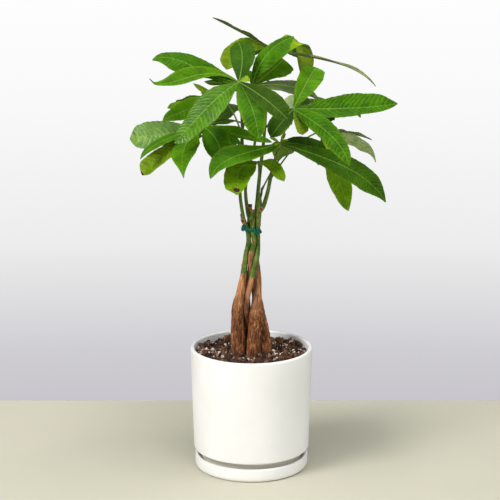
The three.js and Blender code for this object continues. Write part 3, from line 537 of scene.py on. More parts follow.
def leaf_look(name, dull, shine):
    """Leaf skin: clouded green, side veins with quilting between, painted shade in the vein grooves and
    a painted highlight on the pillows, a fine net, dry and yellow margins.
    """
    look = new_look(name)
    u, v, under = look.split(look.trait("place"))
    rib, middle, quilt = look.split(look.trait("rib"))
    edge, burn, gloss = look.split(look.trait("wear"))
    grain, tone = look.trait("grain"), look.trait("tone", "Color")
    side = look.math("ABSOLUTE", u)
    cloud = look.noise(grain, 0.045, 3, 0.6)
    patch = look.noise(grain, 0.15, 3, 0.6)
    fine = look.noise(grain, 0.5, 4, 0.6)
    net = look.cells(grain, 0.62, "DISTANCE_TO_EDGE")

    shaded = look.mix(1.0, tone, (0.68, 0.73, 0.75), "MULTIPLY")
    sunny = look.mix(1.0, tone, (1.30, 1.22, 1.00), "MULTIPLY")
    colour = look.mix(look.span(cloud, 0.3, 0.7), shaded, sunny)
    colour = look.tint(look.span(fine, 0.35, 0.7, 0, 0.22), colour, (1.5, 1.4, 1.2))
    colour = look.tint(look.span(v, 0.0, 0.45, 0.35, 0), colour, (0.78, 0.80, 0.85))
    colour = look.tint(look.span(v, 0.55, 1.0, 0, 0.35), colour, (1.2, 1.12, 0.9))

    from_vein = look.math("PINGPONG", look.math("ADD", rib, look.times(patch, 0.9)), 0.5)
    strong = look.times(quilt, look.span(patch, 0.36, 0.64, 0.08, 0.72), True)
    # Painted shade in the grooves along the side veins, and a painted highlight on the quilted pillows
    # between them.
    painted_groove_shade = look.times(look.span(from_vein, 0.05, 0.32, 1, 0), strong)
    painted_pillow_highlight = look.times(look.span(from_vein, 0.3, 0.5), strong)
    colour = look.tint(painted_pillow_highlight, look.tint(painted_groove_shade, colour, (0.50, 0.58, 0.6)), (1.6, 1.4, 1.6))
    lighter = look.mix(1.0, colour, (2.1, 1.75, 2.0), "MULTIPLY")
    lighter = look.mix(0.5, lighter, (0.17, 0.32, 0.03))
    colour = look.mix(look.span(net, 0.0, 0.10, 0.16, 0), colour, lighter)
    vein = look.times(look.span(from_vein, 0.015, 0.075, 1, 0), look.span(side, 0.8, 0.98, 1, 0))
    colour = look.mix(look.times(vein, 0.3), colour, lighter)
    colour = look.mix(look.times(look.span(middle, 0.35, 0.95, 1, 0), 0.7), colour, (0.24, 0.39, 0.07))

    pale = look.mix(0.35, look.mix(1.0, colour, (1.15, 1.1, 1.6), "MULTIPLY"), (0.19, 0.27, 0.07))
    colour = look.mix(look.times(under, 0.85), colour, pale)
    yellow = look.times(look.span(look.ruffle(side, fine, 0.5), 0.66, 1.05), edge, True)
    colour = look.mix(yellow, colour, (0.25, 0.42, 0.01))
    colour = look.mix(look.span(side, 0.965, 1.0, 0, 0.4), colour, (0.20, 0.33, 0.04))
    charred = look.ruffle(burn, fine, 0.7)
    colour = look.mix(look.span(charred, 0.30, 0.5), colour, (0.26, 0.17, 0.05))
    colour = look.mix(look.span(charred, 0.5, 0.75), colour, (0.055, 0.024, 0.012))

    rough = look.math("SUBTRACT", dull, look.times(gloss, 0.17))
    rough = look.ruffle(look.math("ADD", rough, look.times(under, 0.16)), cloud, 0.22)
    relief = look.bump(look.times(look.span(from_vein, 0.0, 0.4), quilt), 0.7, 0.0008)
    relief = look.bump(look.span(net, 0, 0.3), 0.12, 0.0002, relief)
    relief = look.bump(look.noise(grain, 1.7, 3, 0.6), 0.12, 0.0003, relief)
    look.finish(Base_Color=colour, Roughness=rough, Normal=relief, IOR=1.42, Specular_IOR_Level=shine)

    through = look.mix(1.0, colour, (1.7, 1.6, 0.4), "MULTIPLY")
    thin = look.node("BsdfTranslucent", {"Color": through, "Normal": relief})
    skin, output = (look.tree.nodes[name] for name in ("Principled BSDF", "Material Output"))
    joined = look.node("MixShader", {0: LEAF_GLOW, 1: skin.outputs[0], 2: thin.outputs[0]})
    look.put(output.inputs["Surface"], joined.outputs[0])
    return look.owner


def stalk_look():
    look = new_look("stalk")
    grain = look.trait("grain")
    streaks = look.noise(look.stretch(grain, 0.12), 1.4, 4, 0.6)
    specks = look.cells(look.stretch(grain, 0.6), 0.9)
    colour = look.mix(look.span(streaks, 0.3, 0.7), (0.038, 0.100, 0.008), (0.140, 0.250, 0.026))
    colour = look.mix(look.span(specks, 0.10, 0.2, 0.3, 0), colour, (0.22, 0.26, 0.10))
    relief = look.bump(streaks, 0.3, 0.0004)
    rough = look.span(streaks, 0.2, 0.8, 0.42, 0.58)
    return look.finish(Base_Color=colour, Roughness=rough, Normal=relief)


def bark_look():
    """Fibrous flaking bark that gives way to green skin, with leaf scars on both."""
    look = new_look("bark")
    green, scar, fissure_and_shade = look.split(look.trait("state"))
    grain = look.trait("grain")
    height = look.split(look.place())[2]
    fibres = look.noise(look.stretch(grain, 0.09), 1.1, 6, 0.68, 0.4)
    flakes = look.noise(look.stretch(grain, 0.35), 0.32, 5, 0.6, 0.6)
    broad = look.noise(look.stretch(grain, 0.22), 0.17, 4, 0.6)
    dust = look.noise(grain, 2.4, 4, 0.7)
    dark = look.span(broad, 0.36, 0.50, 1, 0)

    bark = look.mix(look.span(fibres, 0.36, 0.60), (0.062, 0.017, 0.006), (0.310, 0.115, 0.040))
    bark = look.mix(look.span(flakes, 0.53, 0.66, 0, 0.8), bark, (0.580, 0.270, 0.115))
    bark = look.mix(look.span(flakes, 0.34, 0.46, 0.75, 0), bark, (0.075, 0.026, 0.012))
    young = look.mix(fibres, (0.24, 0.09, 0.035), (0.68, 0.38, 0.20))
    bark = look.mix(look.span(height, 0.200, 0.235, 0, 0.5), bark, young)
    bark = look.tint(look.times(dark, 0.8), bark, (0.42, 0.36, 0.34))
    bark = look.tint(look.span(broad, 0.50, 0.66, 0, 0.9), bark, (1.75, 1.6, 1.45))
    bark = look.mix(look.span(dust, 0.60, 0.8, 0, 0.5), bark, (0.66, 0.47, 0.32))
    # Near black in the deepest furrows: the bark's own dark fissures, and painted shade in them.
    bark = look.mix(look.span(fissure_and_shade, 0.25, 0.9, 0, 0.85), bark, (0.030, 0.013, 0.007))

    streaks = look.noise(look.stretch(grain, 0.10), 0.9, 4, 0.6)
    specks = look.cells(look.stretch(grain, 0.55), 0.55)
    blotch = look.noise(look.stretch(grain, 0.4), 0.22, 4, 0.65)
    skin = look.mix(look.span(streaks, 0.3, 0.72), (0.030, 0.080, 0.006), (0.165, 0.270, 0.030))
    skin = look.tint(look.span(blotch, 0.35, 0.52, 0.7, 0), skin, (0.5, 0.5, 0.4))
    skin = look.mix(look.span(blotch, 0.55, 0.68, 0, 0.5), skin, (0.27, 0.33, 0.07))
    skin = look.tint(look.times(dark, 0.7), skin, (0.55, 0.58, 0.5))
    skin = look.mix(look.span(specks, 0.08, 0.17, 0.6, 0), skin, (0.36, 0.30, 0.14))

    colour = look.mix(look.span(look.ruffle(green, flakes, 0.9), 0.35, 0.65), bark, skin)
    torn = look.ruffle(scar, dust, 0.5)
    colour = look.mix(look.span(torn, 0.22, 0.42), colour, (0.36, 0.15, 0.06))
    colour = look.mix(look.span(torn, 0.55, 0.8), colour, (0.085, 0.026, 0.013))

    rough = look.math("SUBTRACT", 0.88, look.times(green, 0.36))
    woody = look.times(look.math("SUBTRACT", 1.0, look.times(green, 0.8)), fibres)
    relief = look.bump(dust, 0.35, 0.0004, look.bump(woody, 0.9, 0.0012))
    return look.finish(Base_Color=colour, Roughness=rough, Normal=relief, Specular_IOR_Level=0.3)


def crumb_look():
    look = new_look("crumb")
    grain, tone = look.trait("grain"), look.trait("tone", "Color")
    pores = look.noise(grain, 1.1, 5, 0.7)
    dots = look.noise(grain, 4.5, 3, 0.6)
    # Painted shade in the hollows of the pores and painted light on their raised parts, on the same
    # noise as the bump.
    painted_shade_hollow = look.mix(1.0, tone, (0.45, 0.42, 0.40), "MULTIPLY")
    painted_light_raised = look.mix(1.0, tone, (1.35, 1.3, 1.25), "MULTIPLY")
    colour = look.mix(look.span(pores, 0.3, 0.7), painted_shade_hollow, painted_light_raised)
    colour = look.mix(look.span(dots, 0.6, 0.75, 0, 0.35), colour, (0.30, 0.22, 0.16))
    rough = look.span(pores, 0.2, 0.8, 0.97, 0.78)
    relief = look.bump(dots, 0.5, 0.0004, look.bump(pores, 0.8, 0.0012))
    return look.finish(Base_Color=colour, Roughness=rough, Normal=relief, Specular_IOR_Level=0.3)


def ceramic_look():
    """A satin glaze that pools a little, with bare clay round the foot, painted darker also as the shade
    under the pot.
    """
    look = new_look("ceramic")
    foot = look.trait("foot", "Fac")
    spot = look.place()
    pool = look.noise(spot, 14, 4, 0.55)
    grit = look.noise(spot, 900, 3, 0.6)
    pin = look.cells(spot, 420)
    colour = look.mix(look.span(pool, 0.3, 0.7), (0.865, 0.860, 0.842), (0.905, 0.902, 0.888))
    colour = look.mix(look.span(pin, 0.05, 0.12, 0.12, 0), colour, (0.66, 0.63, 0.57))
    # Bare clay colour, darker than the glaze: partly the clay and partly painted shade under the pot.
    bare_clay_and_shade = look.mix(look.span(grit, 0.3, 0.7), (0.60, 0.565, 0.49), (0.70, 0.665, 0.59))
    colour = look.mix(foot, colour, bare_clay_and_shade)
    rough = look.math("ADD", look.span(pool, 0.25, 0.75, 0.36, 0.46), look.span(grit, 0.3, 0.7, 0, 0.06))
    rough = look.math("ADD", rough, look.times(foot, 0.35))
    relief = look.bump(grit, 0.10, 0.00012, look.bump(pool, 0.12, 0.0015))
    return look.finish(Base_Color=colour, Roughness=rough, Normal=relief, Specular_IOR_Level=0.45,
                       Coat_Weight=0.12, Coat_Roughness=0.32)


def tie_look():
    look = new_look("tie")
    grain = look.trait("grain")
    waves = {"Vector": grain, "Scale": 0.55, "Distortion": 0.4, "Detail": 1.0}
    ridges = look.node("TexWave", waves, wave_type="BANDS", bands_direction="Z").outputs["Fac"]
    scuff = look.noise(grain, 0.8, 4, 0.6)
    colour = look.mix(look.span(scuff, 0.3, 0.7), (0.001, 0.092, 0.068), (0.004, 0.205, 0.155))
    # Painted shade in the grooves between the ridges.
    colour = look.mix(look.span(ridges, 0.1, 0.5, 0.35, 0), colour, (0.003, 0.055, 0.062))
    rough = look.span(scuff, 0.3, 0.7, 0.42, 0.58)
    relief = look.bump(scuff, 0.2, 0.0003, look.bump(ridges, 0.5, 0.0005))
    return look.finish(Base_Color=colour, Roughness=rough, Normal=relief, Specular_IOR_Level=0.25)


LEAF, SHINY = leaf_look("leaf", 0.52, 0.10), leaf_look("leaf_shiny", 0.44, 0.5)
STALK, BARK = stalk_look(), bark_look()
CRUMB, CERAMIC, TAPE = crumb_look(), ceramic_look(), tie_look()


# ---- pot and saucer

LATHE_SIDES = 160
LATHE_STEP = 6  # longest step along a straight run of a profile
CLAY_AND_SHADE_EDGE = 9  # how far past the foot the clay under the pot is bare and painted darker, also as the shade there


def turned_piece(name, node, profile, drained):
    """A piece turned about +Z; a drained one has a hole, and its profile ends where it starts."""
    profile = densely(profile, LATHE_STEP)
    points = np.vstack([ring(radius, height, LATHE_SIDES) for radius, height in profile])
    faces = tube_faces(len(profile), LATHE_SIDES)
    if drained:
        count = (len(profile) - 1) * LATHE_SIDES
        points = points[:count]
        faces = [tuple(i % count for i in face) for face in faces[:-2]]
    height, radius = points[:, 2], np.hypot(points[:, 0], points[:, 1])
    # The bare clay under the pot, which also carries the painted shade of the gap between pot and
    # saucer.
    bare_clay_and_shade = (height < POT_LOWER_EDGE + 0.1) & (height > POT_BASE) & (radius < POT_FOOT_RADIUS + CLAY_AND_SHADE_EDGE)
    shape = Shape("foot")
    shape.add(points, faces, foot=np.repeat((bare_clay_and_shade & drained)[:, None], 3, 1))
    shape.build(name, [CERAMIC], node)


def pot_inner_radius(height):
    share = (height - POT_LOWER_EDGE) / (POT_RIM_HEIGHT - POT_LOWER_EDGE)
    return POT_LOWER_RADIUS + (POT_RIM_RADIUS - POT_LOWER_RADIUS) * share - POT_WALL


def make_saucer():
    inner, lip = SAUCER_RADIUS - SAUCER_WALL, SAUCER_WALL / 2
    profile = [(0.5, 0.0), (58, 0.0), (60, 0.6), (62, 0.0)]
    profile += arc(SAUCER_RADIUS - SAUCER_CORNER, SAUCER_CORNER, SAUCER_CORNER, -90, 0)
    profile += arc(SAUCER_RADIUS - lip, SAUCER_HEIGHT - lip, lip, 0, 180, 12)
    profile += arc(inner - 3, SAUCER_FLOOR + 3, 3, 0, -90) + [(0.5, SAUCER_FLOOR)]
    turned_piece("white_saucer", "saucer", profile, False)


def make_pot():
    inside, rim_inner = POT_FOOT_RADIUS - POT_WALL, POT_RIM_RADIUS - POT_WALL
    shoulder, rim_height = POT_LOWER_EDGE + 8, POT_RIM_HEIGHT - POT_LIP
    edge_radius, edge_height = POT_LOWER_RADIUS - POT_EDGE_ROUND, POT_LOWER_EDGE + POT_EDGE_ROUND
    profile = [(DRAIN_RADIUS, POT_BASE)] + arc(POT_FOOT_RADIUS - 1, POT_BASE + 1, 1, -90, 0, 4)
    profile += [(POT_FOOT_RADIUS, POT_LOWER_EDGE - 1.5), (POT_FOOT_RADIUS + 0.5, POT_LOWER_EDGE - 0.4),
                (POT_FOOT_RADIUS + 1.6, POT_LOWER_EDGE)]
    profile += arc(edge_radius, edge_height, POT_EDGE_ROUND, -90, 0)
    profile += arc(POT_RIM_RADIUS - POT_LIP, rim_height, POT_LIP, 0, 90)
    profile += arc(rim_inner + POT_LIP, rim_height, POT_LIP, 90, 180)
    profile += [(pot_inner_radius(shoulder), shoulder), (inside, POT_LOWER_EDGE)]
    profile += [(r, POT_INNER_FLOOR) for r in (inside, DRAIN_RADIUS)] + [(DRAIN_RADIUS, POT_BASE)]
    turned_piece("white_pot", "pot", profile, True)


make_saucer()
make_pot()


# ---- growing mix

SOIL_GAP = 0.4  # between the mix and the pot's wall
SOIL_UNDER = 1.4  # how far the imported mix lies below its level, for the loose grains


def soil_height(x, y):
    radius, angle = np.hypot(x, y), np.arctan2(y, x)
    lumps = np.sin(0.23 * x + 1.1) * np.cos(0.19 * y - 0.4) + 0.7 * np.sin(0.41 * x - 0.33 * y + 2.3)
    return SOIL_LEVEL + SOIL_RELIEF * (0.55 * lumps + 0.5 * np.sin(5 * angle + 0.08 * radius))


def make_soil():
    sides, rings = 120, 44
    top, shoulder = pot_inner_radius(SOIL_LEVEL) - SOIL_GAP, POT_LOWER_EDGE + 9
    foot, bottom = POT_FOOT_RADIUS - POT_WALL - 0.5, POT_INNER_FLOOR + 0.4
    wall = pot_inner_radius(shoulder) - 0.5
    profile = [(1, bottom), (foot, bottom), (foot, POT_LOWER_EDGE), (wall, shoulder)]
    rows = [ring(radius, height, sides) for radius, height in profile]
    for radius in np.linspace(top, 1, rings):
        row = ring(radius, 0, sides)
        row[:, 2] = soil_height(row[:, 0], row[:, 1]) - SOIL_UNDER
        row[:, 2] += 1.1 * wobble(row, 0.21) + 0.7 * wobble(row, 0.6, 5)
        rows.append(row)
    points = np.vstack(rows)
    shape = Shape("tone", "grain")
    shape.add(points, tube_faces(len(rows), sides), tone=(0.045, 0.024, 0.014), grain=points)
    shape.build("growing_mix", [CRUMB], "soil")


# Kinds of grain: share of all, smallest and largest radius, flatness, length, tones.
GRAINS = [
    (0.34, (1.8, 4.2), 0.75, 1.2, [(0.056, 0.026, 0.017), (0.024, 0.012, 0.009), (0.098, 0.048, 0.028)]),
    (0.13, (2.2, 4.4), 0.45, 1.7, [(0.135, 0.058, 0.030), (0.080, 0.035, 0.019), (0.240, 0.120, 0.064)]),
    (0.27, (1.2, 2.8), 0.85, 1.1, [(0.92, 0.88, 0.84), (0.76, 0.70, 0.65), (0.54, 0.47, 0.42)]),
    (0.26, (0.9, 2.1), 0.8, 1.2, [(0.42, 0.33, 0.27), (0.62, 0.55, 0.49), (0.20, 0.14, 0.10)]),
]
GRAIN_COUNT = 3000
LUMP_KINDS = 5
BANK_HEIGHT, BANK_FROM, BANK_TO = 1.6, 30, 72  # the grains rise a little towards the wall


def pebble(seed):
    """A rough lump about the origin, with radius near 1."""
    made = bmesh.new()
    bmesh.ops.create_icosphere(made, subdivisions=2, radius=1)
    points = np.array([v.co[:] for v in made.verts])
    faces = [tuple(v.index for v in f.verts) for f in made.faces]
    made.free()
    push = 1 + 0.30 * wobble(points, 1.1, seed * 3.1) + 0.16 * wobble(points, 2.6, seed * 1.7)
    points = points * push[:, None]
    return np.round(points * 4) / 4 * 0.35 + points * 0.65, faces


def make_grains():
    lumps = [pebble(k) for k in range(LUMP_KINDS)]
    shape = Shape("tone", "grain")
    shares = np.cumsum([g[0] for g in GRAINS])
    feet = [trunk["stem"][2] for trunk in TRUNKS.values()]
    wall = pot_inner_radius(SOIL_LEVEL) - SOIL_GAP
    for n in range(GRAIN_COUNT):
        kind = min(int(np.searchsorted(shares, RANDOM.rand())), len(GRAINS) - 1)
        _, (small, large), flat, length, tones = GRAINS[kind]
        size = small + (large - small) * RANDOM.rand() ** 1.6
        reach = wall - 0.5 - size
        r, a = reach * math.sqrt(RANDOM.rand()), 2 * math.pi * RANDOM.rand()
        x, y = r * math.cos(a), r * math.sin(a)
        points, faces = lumps[RANDOM.randint(len(lumps))]
        turn = np.array(Quaternion(unit(RANDOM.normal(size=4))).to_matrix())
        tone = np.array(tones[RANDOM.randint(len(tones))]) * RANDOM.uniform(0.75, 1.25)
        lift = RANDOM.uniform(-0.5, 0.9) * size
        if any(math.hypot(x - foot_x, y - foot_y) < radius - 0.5 for foot_x, foot_y, _, radius in feet):
            continue
        lay = np.array([size * length, size / math.sqrt(length), size * flat])
        bank = BANK_HEIGHT * ease(BANK_FROM, BANK_TO, r)
        centre = np.array([x, y, soil_height(x, y) - 0.6 + lift + bank])
        placed = (points * lay) @ turn.T + centre
        placed[:, 2] = np.minimum(placed[:, 2], POT_RIM_HEIGHT + 1.5)
        far = np.hypot(placed[:, 0], placed[:, 1])
        placed[:, :2] *= np.minimum(1, wall / np.maximum(far, 1e-6))[:, None]
        shape.add(placed, faces, tone=tone, grain=placed + n * 7.0)
    shape.build("mix_grains", [CRUMB])


make_soil()
make_grains()


# ---- trunks

STEM_STEPS, STEM_SIDES = 16, 44
SHOOT_STEPS, SHOOT_SIDES = 14, 20
KNUCKLE_AT, KNUCKLE_SIZE, KNUCKLE_SQUARENESS = (6.4, -14.2, 210.6), (6.9, 5.4, 7.6), 0.55


def stem_rings(stations, steps, sides):
    """Centres, tangents, radii and distances along a stem, and the ways out from each centre."""
    centre, tangent, radius = spline(stations, steps)
    across, side = frames(tangent)
    turn = circle(sides)
    out = across[:, None] * np.cos(turn)[None, :, None] + side[:, None] * np.sin(turn)[None, :, None]
    return centre, tangent, radius, run_along(centre), out


def add_stem(shape, stations, green_at, scars, steps, sides, seed):
    """A stem with furrowed bark below, green skin above, and a lump at each scar."""
    centre, _, radius, run, out = stem_rings(stations, steps, sides)
    out = out.reshape(-1, 3)
    wide = np.repeat(radius, sides)
    middle = np.repeat(centre, sides, 0)
    flat = middle + out * wide[:, None]
    grain = np.column_stack([out[:, :2] * wide[:, None], np.repeat(run, sides)])
    start, spread = green_at
    green = ease(start - spread, start + spread, flat[:, 2] + 6 * wobble(flat, 0.11, seed))

    woody = np.clip(wide / 8, 0.25, 1) * (1 - green)
    furrow = np.abs(wobble(grain * (0.42, 0.42, 0.035), 1, seed + 3))
    fine = np.abs(wobble(grain * (1.1, 1.1, 0.10), 1, seed + 9))
    lump = wobble(grain * (0.13, 0.13, 0.045), 1, seed + 5)
    push = woody * (2.0 * (furrow - 0.24) + 1.1 * (fine - 0.2) + 1.4 * lump) + 0.12 * green * lump
    # The deepest furrows, marked for a near-black colour: the bark's fissures, and painted shade in
    # them.
    fissure_and_shade = np.clip(1 - furrow / 0.10, 0, 1) * woody
    scar = np.zeros(len(flat))
    for x, y, z, size, lift in scars:
        near = np.exp(-np.sum((flat - (x, y, z)) ** 2, 1) / (size * size))
        scar = np.maximum(scar, near)
        push = push + lift * near
    placed = middle + out * (wide + push)[:, None]
    state = np.stack([green, scar, fissure_and_shade], 1)
    shape.add(placed, tube_faces(len(centre), sides), grain=grain + seed * 13.0, state=state)


def add_knuckle(shape, seed):
    """The knotty swelling at the front of the second trunk, where its thin top bends away."""
    rows, sides, tip = 25, 36, 0.001
    leans = math.pi * (np.arange(rows) + tip) / (rows - 1 + 2 * tip) - math.pi / 2
    ball = np.vstack([ring(math.cos(lean), math.sin(lean), sides) for lean in leans])
    ball *= (1 + 0.16 * wobble(ball, 2.2, seed) + 0.07 * wobble(ball, 5.5, seed))[:, None]
    ball[:, 2] = np.sign(ball[:, 2]) * np.abs(ball[:, 2]) ** KNUCKLE_SQUARENESS
    placed = ball * KNUCKLE_SIZE + KNUCKLE_AT
    shape.add(placed, tube_faces(rows, sides), grain=placed, state=(0, 0.26, 0.0))


def make_trunks():
    for index, (name, trunk) in enumerate(TRUNKS.items()):
        shape = Shape("grain", "state")
        add_stem(shape, trunk["stem"], GREEN_FROM[name], SCARS[name], STEM_STEPS, STEM_SIDES, index + 1)
        for k, shoot in enumerate(trunk["shoots"]):
            seed = index + 20 + 5 * k
            add_stem(shape, shoot, SHOOT_GREEN, SCARS[name], SHOOT_STEPS, SHOOT_SIDES, seed)
        if name == "trunk_2":
            add_knuckle(shape, 4)
        shape.build("stem_" + name, [BARK], name)


make_trunks()


# ---- tie

# Turns of the tape round the stems: lift, slant, breadth, start in degrees, gap to the stems.
TAPE_TURNS = [(-0.3, 0.2, 4.0, 0, 0.15), (0.5, 0.34, 3.0, 30, 1.0)]
TAPE_SWEEP, TAPE_THICK = 372, 0.9
# Small wraps of the knot and the free end: turn in degrees, way round, size.
TAPE_WRAPS = [(TIE_KNOT_TURN, 1, 3.0), (TIE_KNOT_TURN + 20, -1, 2.2), (TIE_END_TURN - 6, 1, 3.4)]
WRAP_BREADTH, WRAP_THICK, WRAP_SHARE = 3.2, 1.2, 0.94
# The tape's section: share of its thickness outward, share of its breadth upward.
TAPE_SECTION = [
    (0, -0.5), (0.75, -0.42), (1, -0.2), (0.8, 0), (1, 0.2), (0.75, 0.42), (0, 0.5),
    (-0.25, 0.3), (-0.25, -0.3),
]
UP = np.array([0.0, 0.0, 1.0])


def stems_at_tie():
    """The stems near the tie's height as rows of x, y and radius."""
    circles = []
    for trunk in TRUNKS.values():
        for stations in [trunk["stem"], *trunk["shoots"]]:
            centre, _, radius = spline(stations, 20)
            near = np.abs(centre[:, 2] - TIE_HEIGHT) < TIE_BREADTH / 2 + 4
            circles += [(x, y, r) for (x, y, _), r in zip(centre[near], radius[near])]
    return np.array(circles)


def loop_radius(circles, angle):
    """How far out a tight loop round the circles lies at this angle."""
    leans = np.radians(np.arange(-80, 81, 4))
    x, y, radius = (circles[:, k:k + 1] for k in range(3))
    reach = (x * np.cos(angle + leans) + y * np.sin(angle + leans) + radius).max(0)
    return float((reach / np.cos(leans)).min())


def add_band(shape, path, out, breadth, thickness, up):
    """A flat tape with round edges along a path; out points away from the stems."""
    rows = [path + out * thickness * a + up * breadth * b for a, b in TAPE_SECTION]
    points = np.stack(rows, 1).reshape(-1, 3)
    sides = len(TAPE_SECTION)
    outward, upward = np.tile(TAPE_SECTION, (len(path), 1)).T
    grain = np.stack([np.repeat(run_along(path), sides), outward, upward * breadth], 1)
    shape.add(points, tube_faces(len(path), sides), grain=grain)


def make_tie():
    circles = stems_at_tie()
    shape = Shape("grain")
    for lift, slant, breadth, start, gap in TAPE_TURNS:
        angles = np.radians(np.linspace(start, start + TAPE_SWEEP, 140))
        radius = np.array([loop_radius(circles, a) for a in angles]) + gap
        radius = np.convolve(np.pad(radius, 3, mode="wrap"), np.ones(7) / 7, "valid")
        out = np.stack([np.cos(angles), np.sin(angles), np.zeros(len(angles))], 1)
        path = out * radius[:, None]
        path[:, 2] = TIE_HEIGHT - slant * path[:, 0] + lift
        add_band(shape, path, out, breadth, TAPE_THICK, UP)
    for turn, way, size in TAPE_WRAPS:
        angle = math.radians(turn)
        radius = loop_radius(circles, angle) + 0.3
        out = np.array([math.cos(angle), math.sin(angle), 0])
        aside = np.array([-math.sin(angle), math.cos(angle), 0])
        middle = out * radius + UP * (TIE_HEIGHT - TIE_SLANT * out[0] * radius)
        t = np.linspace(0, 2 * np.pi * WRAP_SHARE, 40)[:, None]
        path = (middle + aside * size * 0.62 * np.sin(t) * way + UP * size * np.cos(t) * 0.85
                + out * (0.7 + 0.5 * np.sin(2 * t)))
        along = unit(np.gradient(path, axis=0))
        add_band(shape, path, out, WRAP_BREADTH, WRAP_THICK, np.cross(out, along))
    shape.build("garden_tie", [TAPE], "tie")


make_tie()


# ---- leaves

HALF = np.array([0, 0.03, 0.07, 0.13, 0.22, 0.33, 0.45, 0.57, 0.69, 0.8, 0.9, 0.97, 1])
ACROSS = np.concatenate([-HALF[:0:-1], HALF])
ALONG_STEPS = 60
TOP_THICK, RIM_THICK = 0.5, 0.25
VEIN_GAP, VEIN_GAP_SMALL, SMALL_WIDTH = 6.6, 4.0, 20
GLOSSY = 0.8  # a leaflet with more gloss than this has the shiny skin
PETIOLE_RADIUS, PETIOLE_STEPS, PETIOLE_SIDES = 1.3, 22, 14


def outline_width(outline, share):
    """A smooth curve through an outline's points, read at these shares of the way to the tip."""
    x, y = np.array(SHARES), np.array(outline)
    slope = np.gradient(y, x)
    slope[-1] = (y[-1] - y[-2]) / (x[-1] - x[-2]) * 1.1
    i = np.clip(np.searchsorted(x, share, side="right") - 1, 0, len(x) - 2)
    h = x[i + 1] - x[i]
    t = (share - x[i]) / h
    a, b = 2 * t ** 3 - 3 * t ** 2 + 1, t ** 3 - 2 * t ** 2 + t
    c, d = -2 * t ** 3 + 3 * t ** 2, t ** 3 - t ** 2
    return np.maximum(a * y[i] + b * h * slope[i] + c * y[i + 1] + d * h * slope[i + 1], 0.02)


def turn_about(v, axis, angle):
    turned = v * math.cos(angle) + np.cross(axis, v) * math.sin(angle)
    return turned + axis * axis.dot(v) * (1 - math.cos(angle))


def blade_faces(rows, columns):
    """Upper faces, the same below with as many points further on, and the rim that joins them."""
    count = rows * columns
    faces = grid_faces(rows, columns, flip=True)
    faces += [tuple(i + count for i in face[::-1]) for face in faces]
    left = [i * columns for i in range(rows)]
    right = [i + columns - 1 for i in left]
    for line in (left, right[::-1], range(columns - 1, -1, -1), range(left[-1], right[-1] + 1)):
        faces += [(i, j, j + count, i + count) for i, j in zip(line, line[1:])]
    return faces


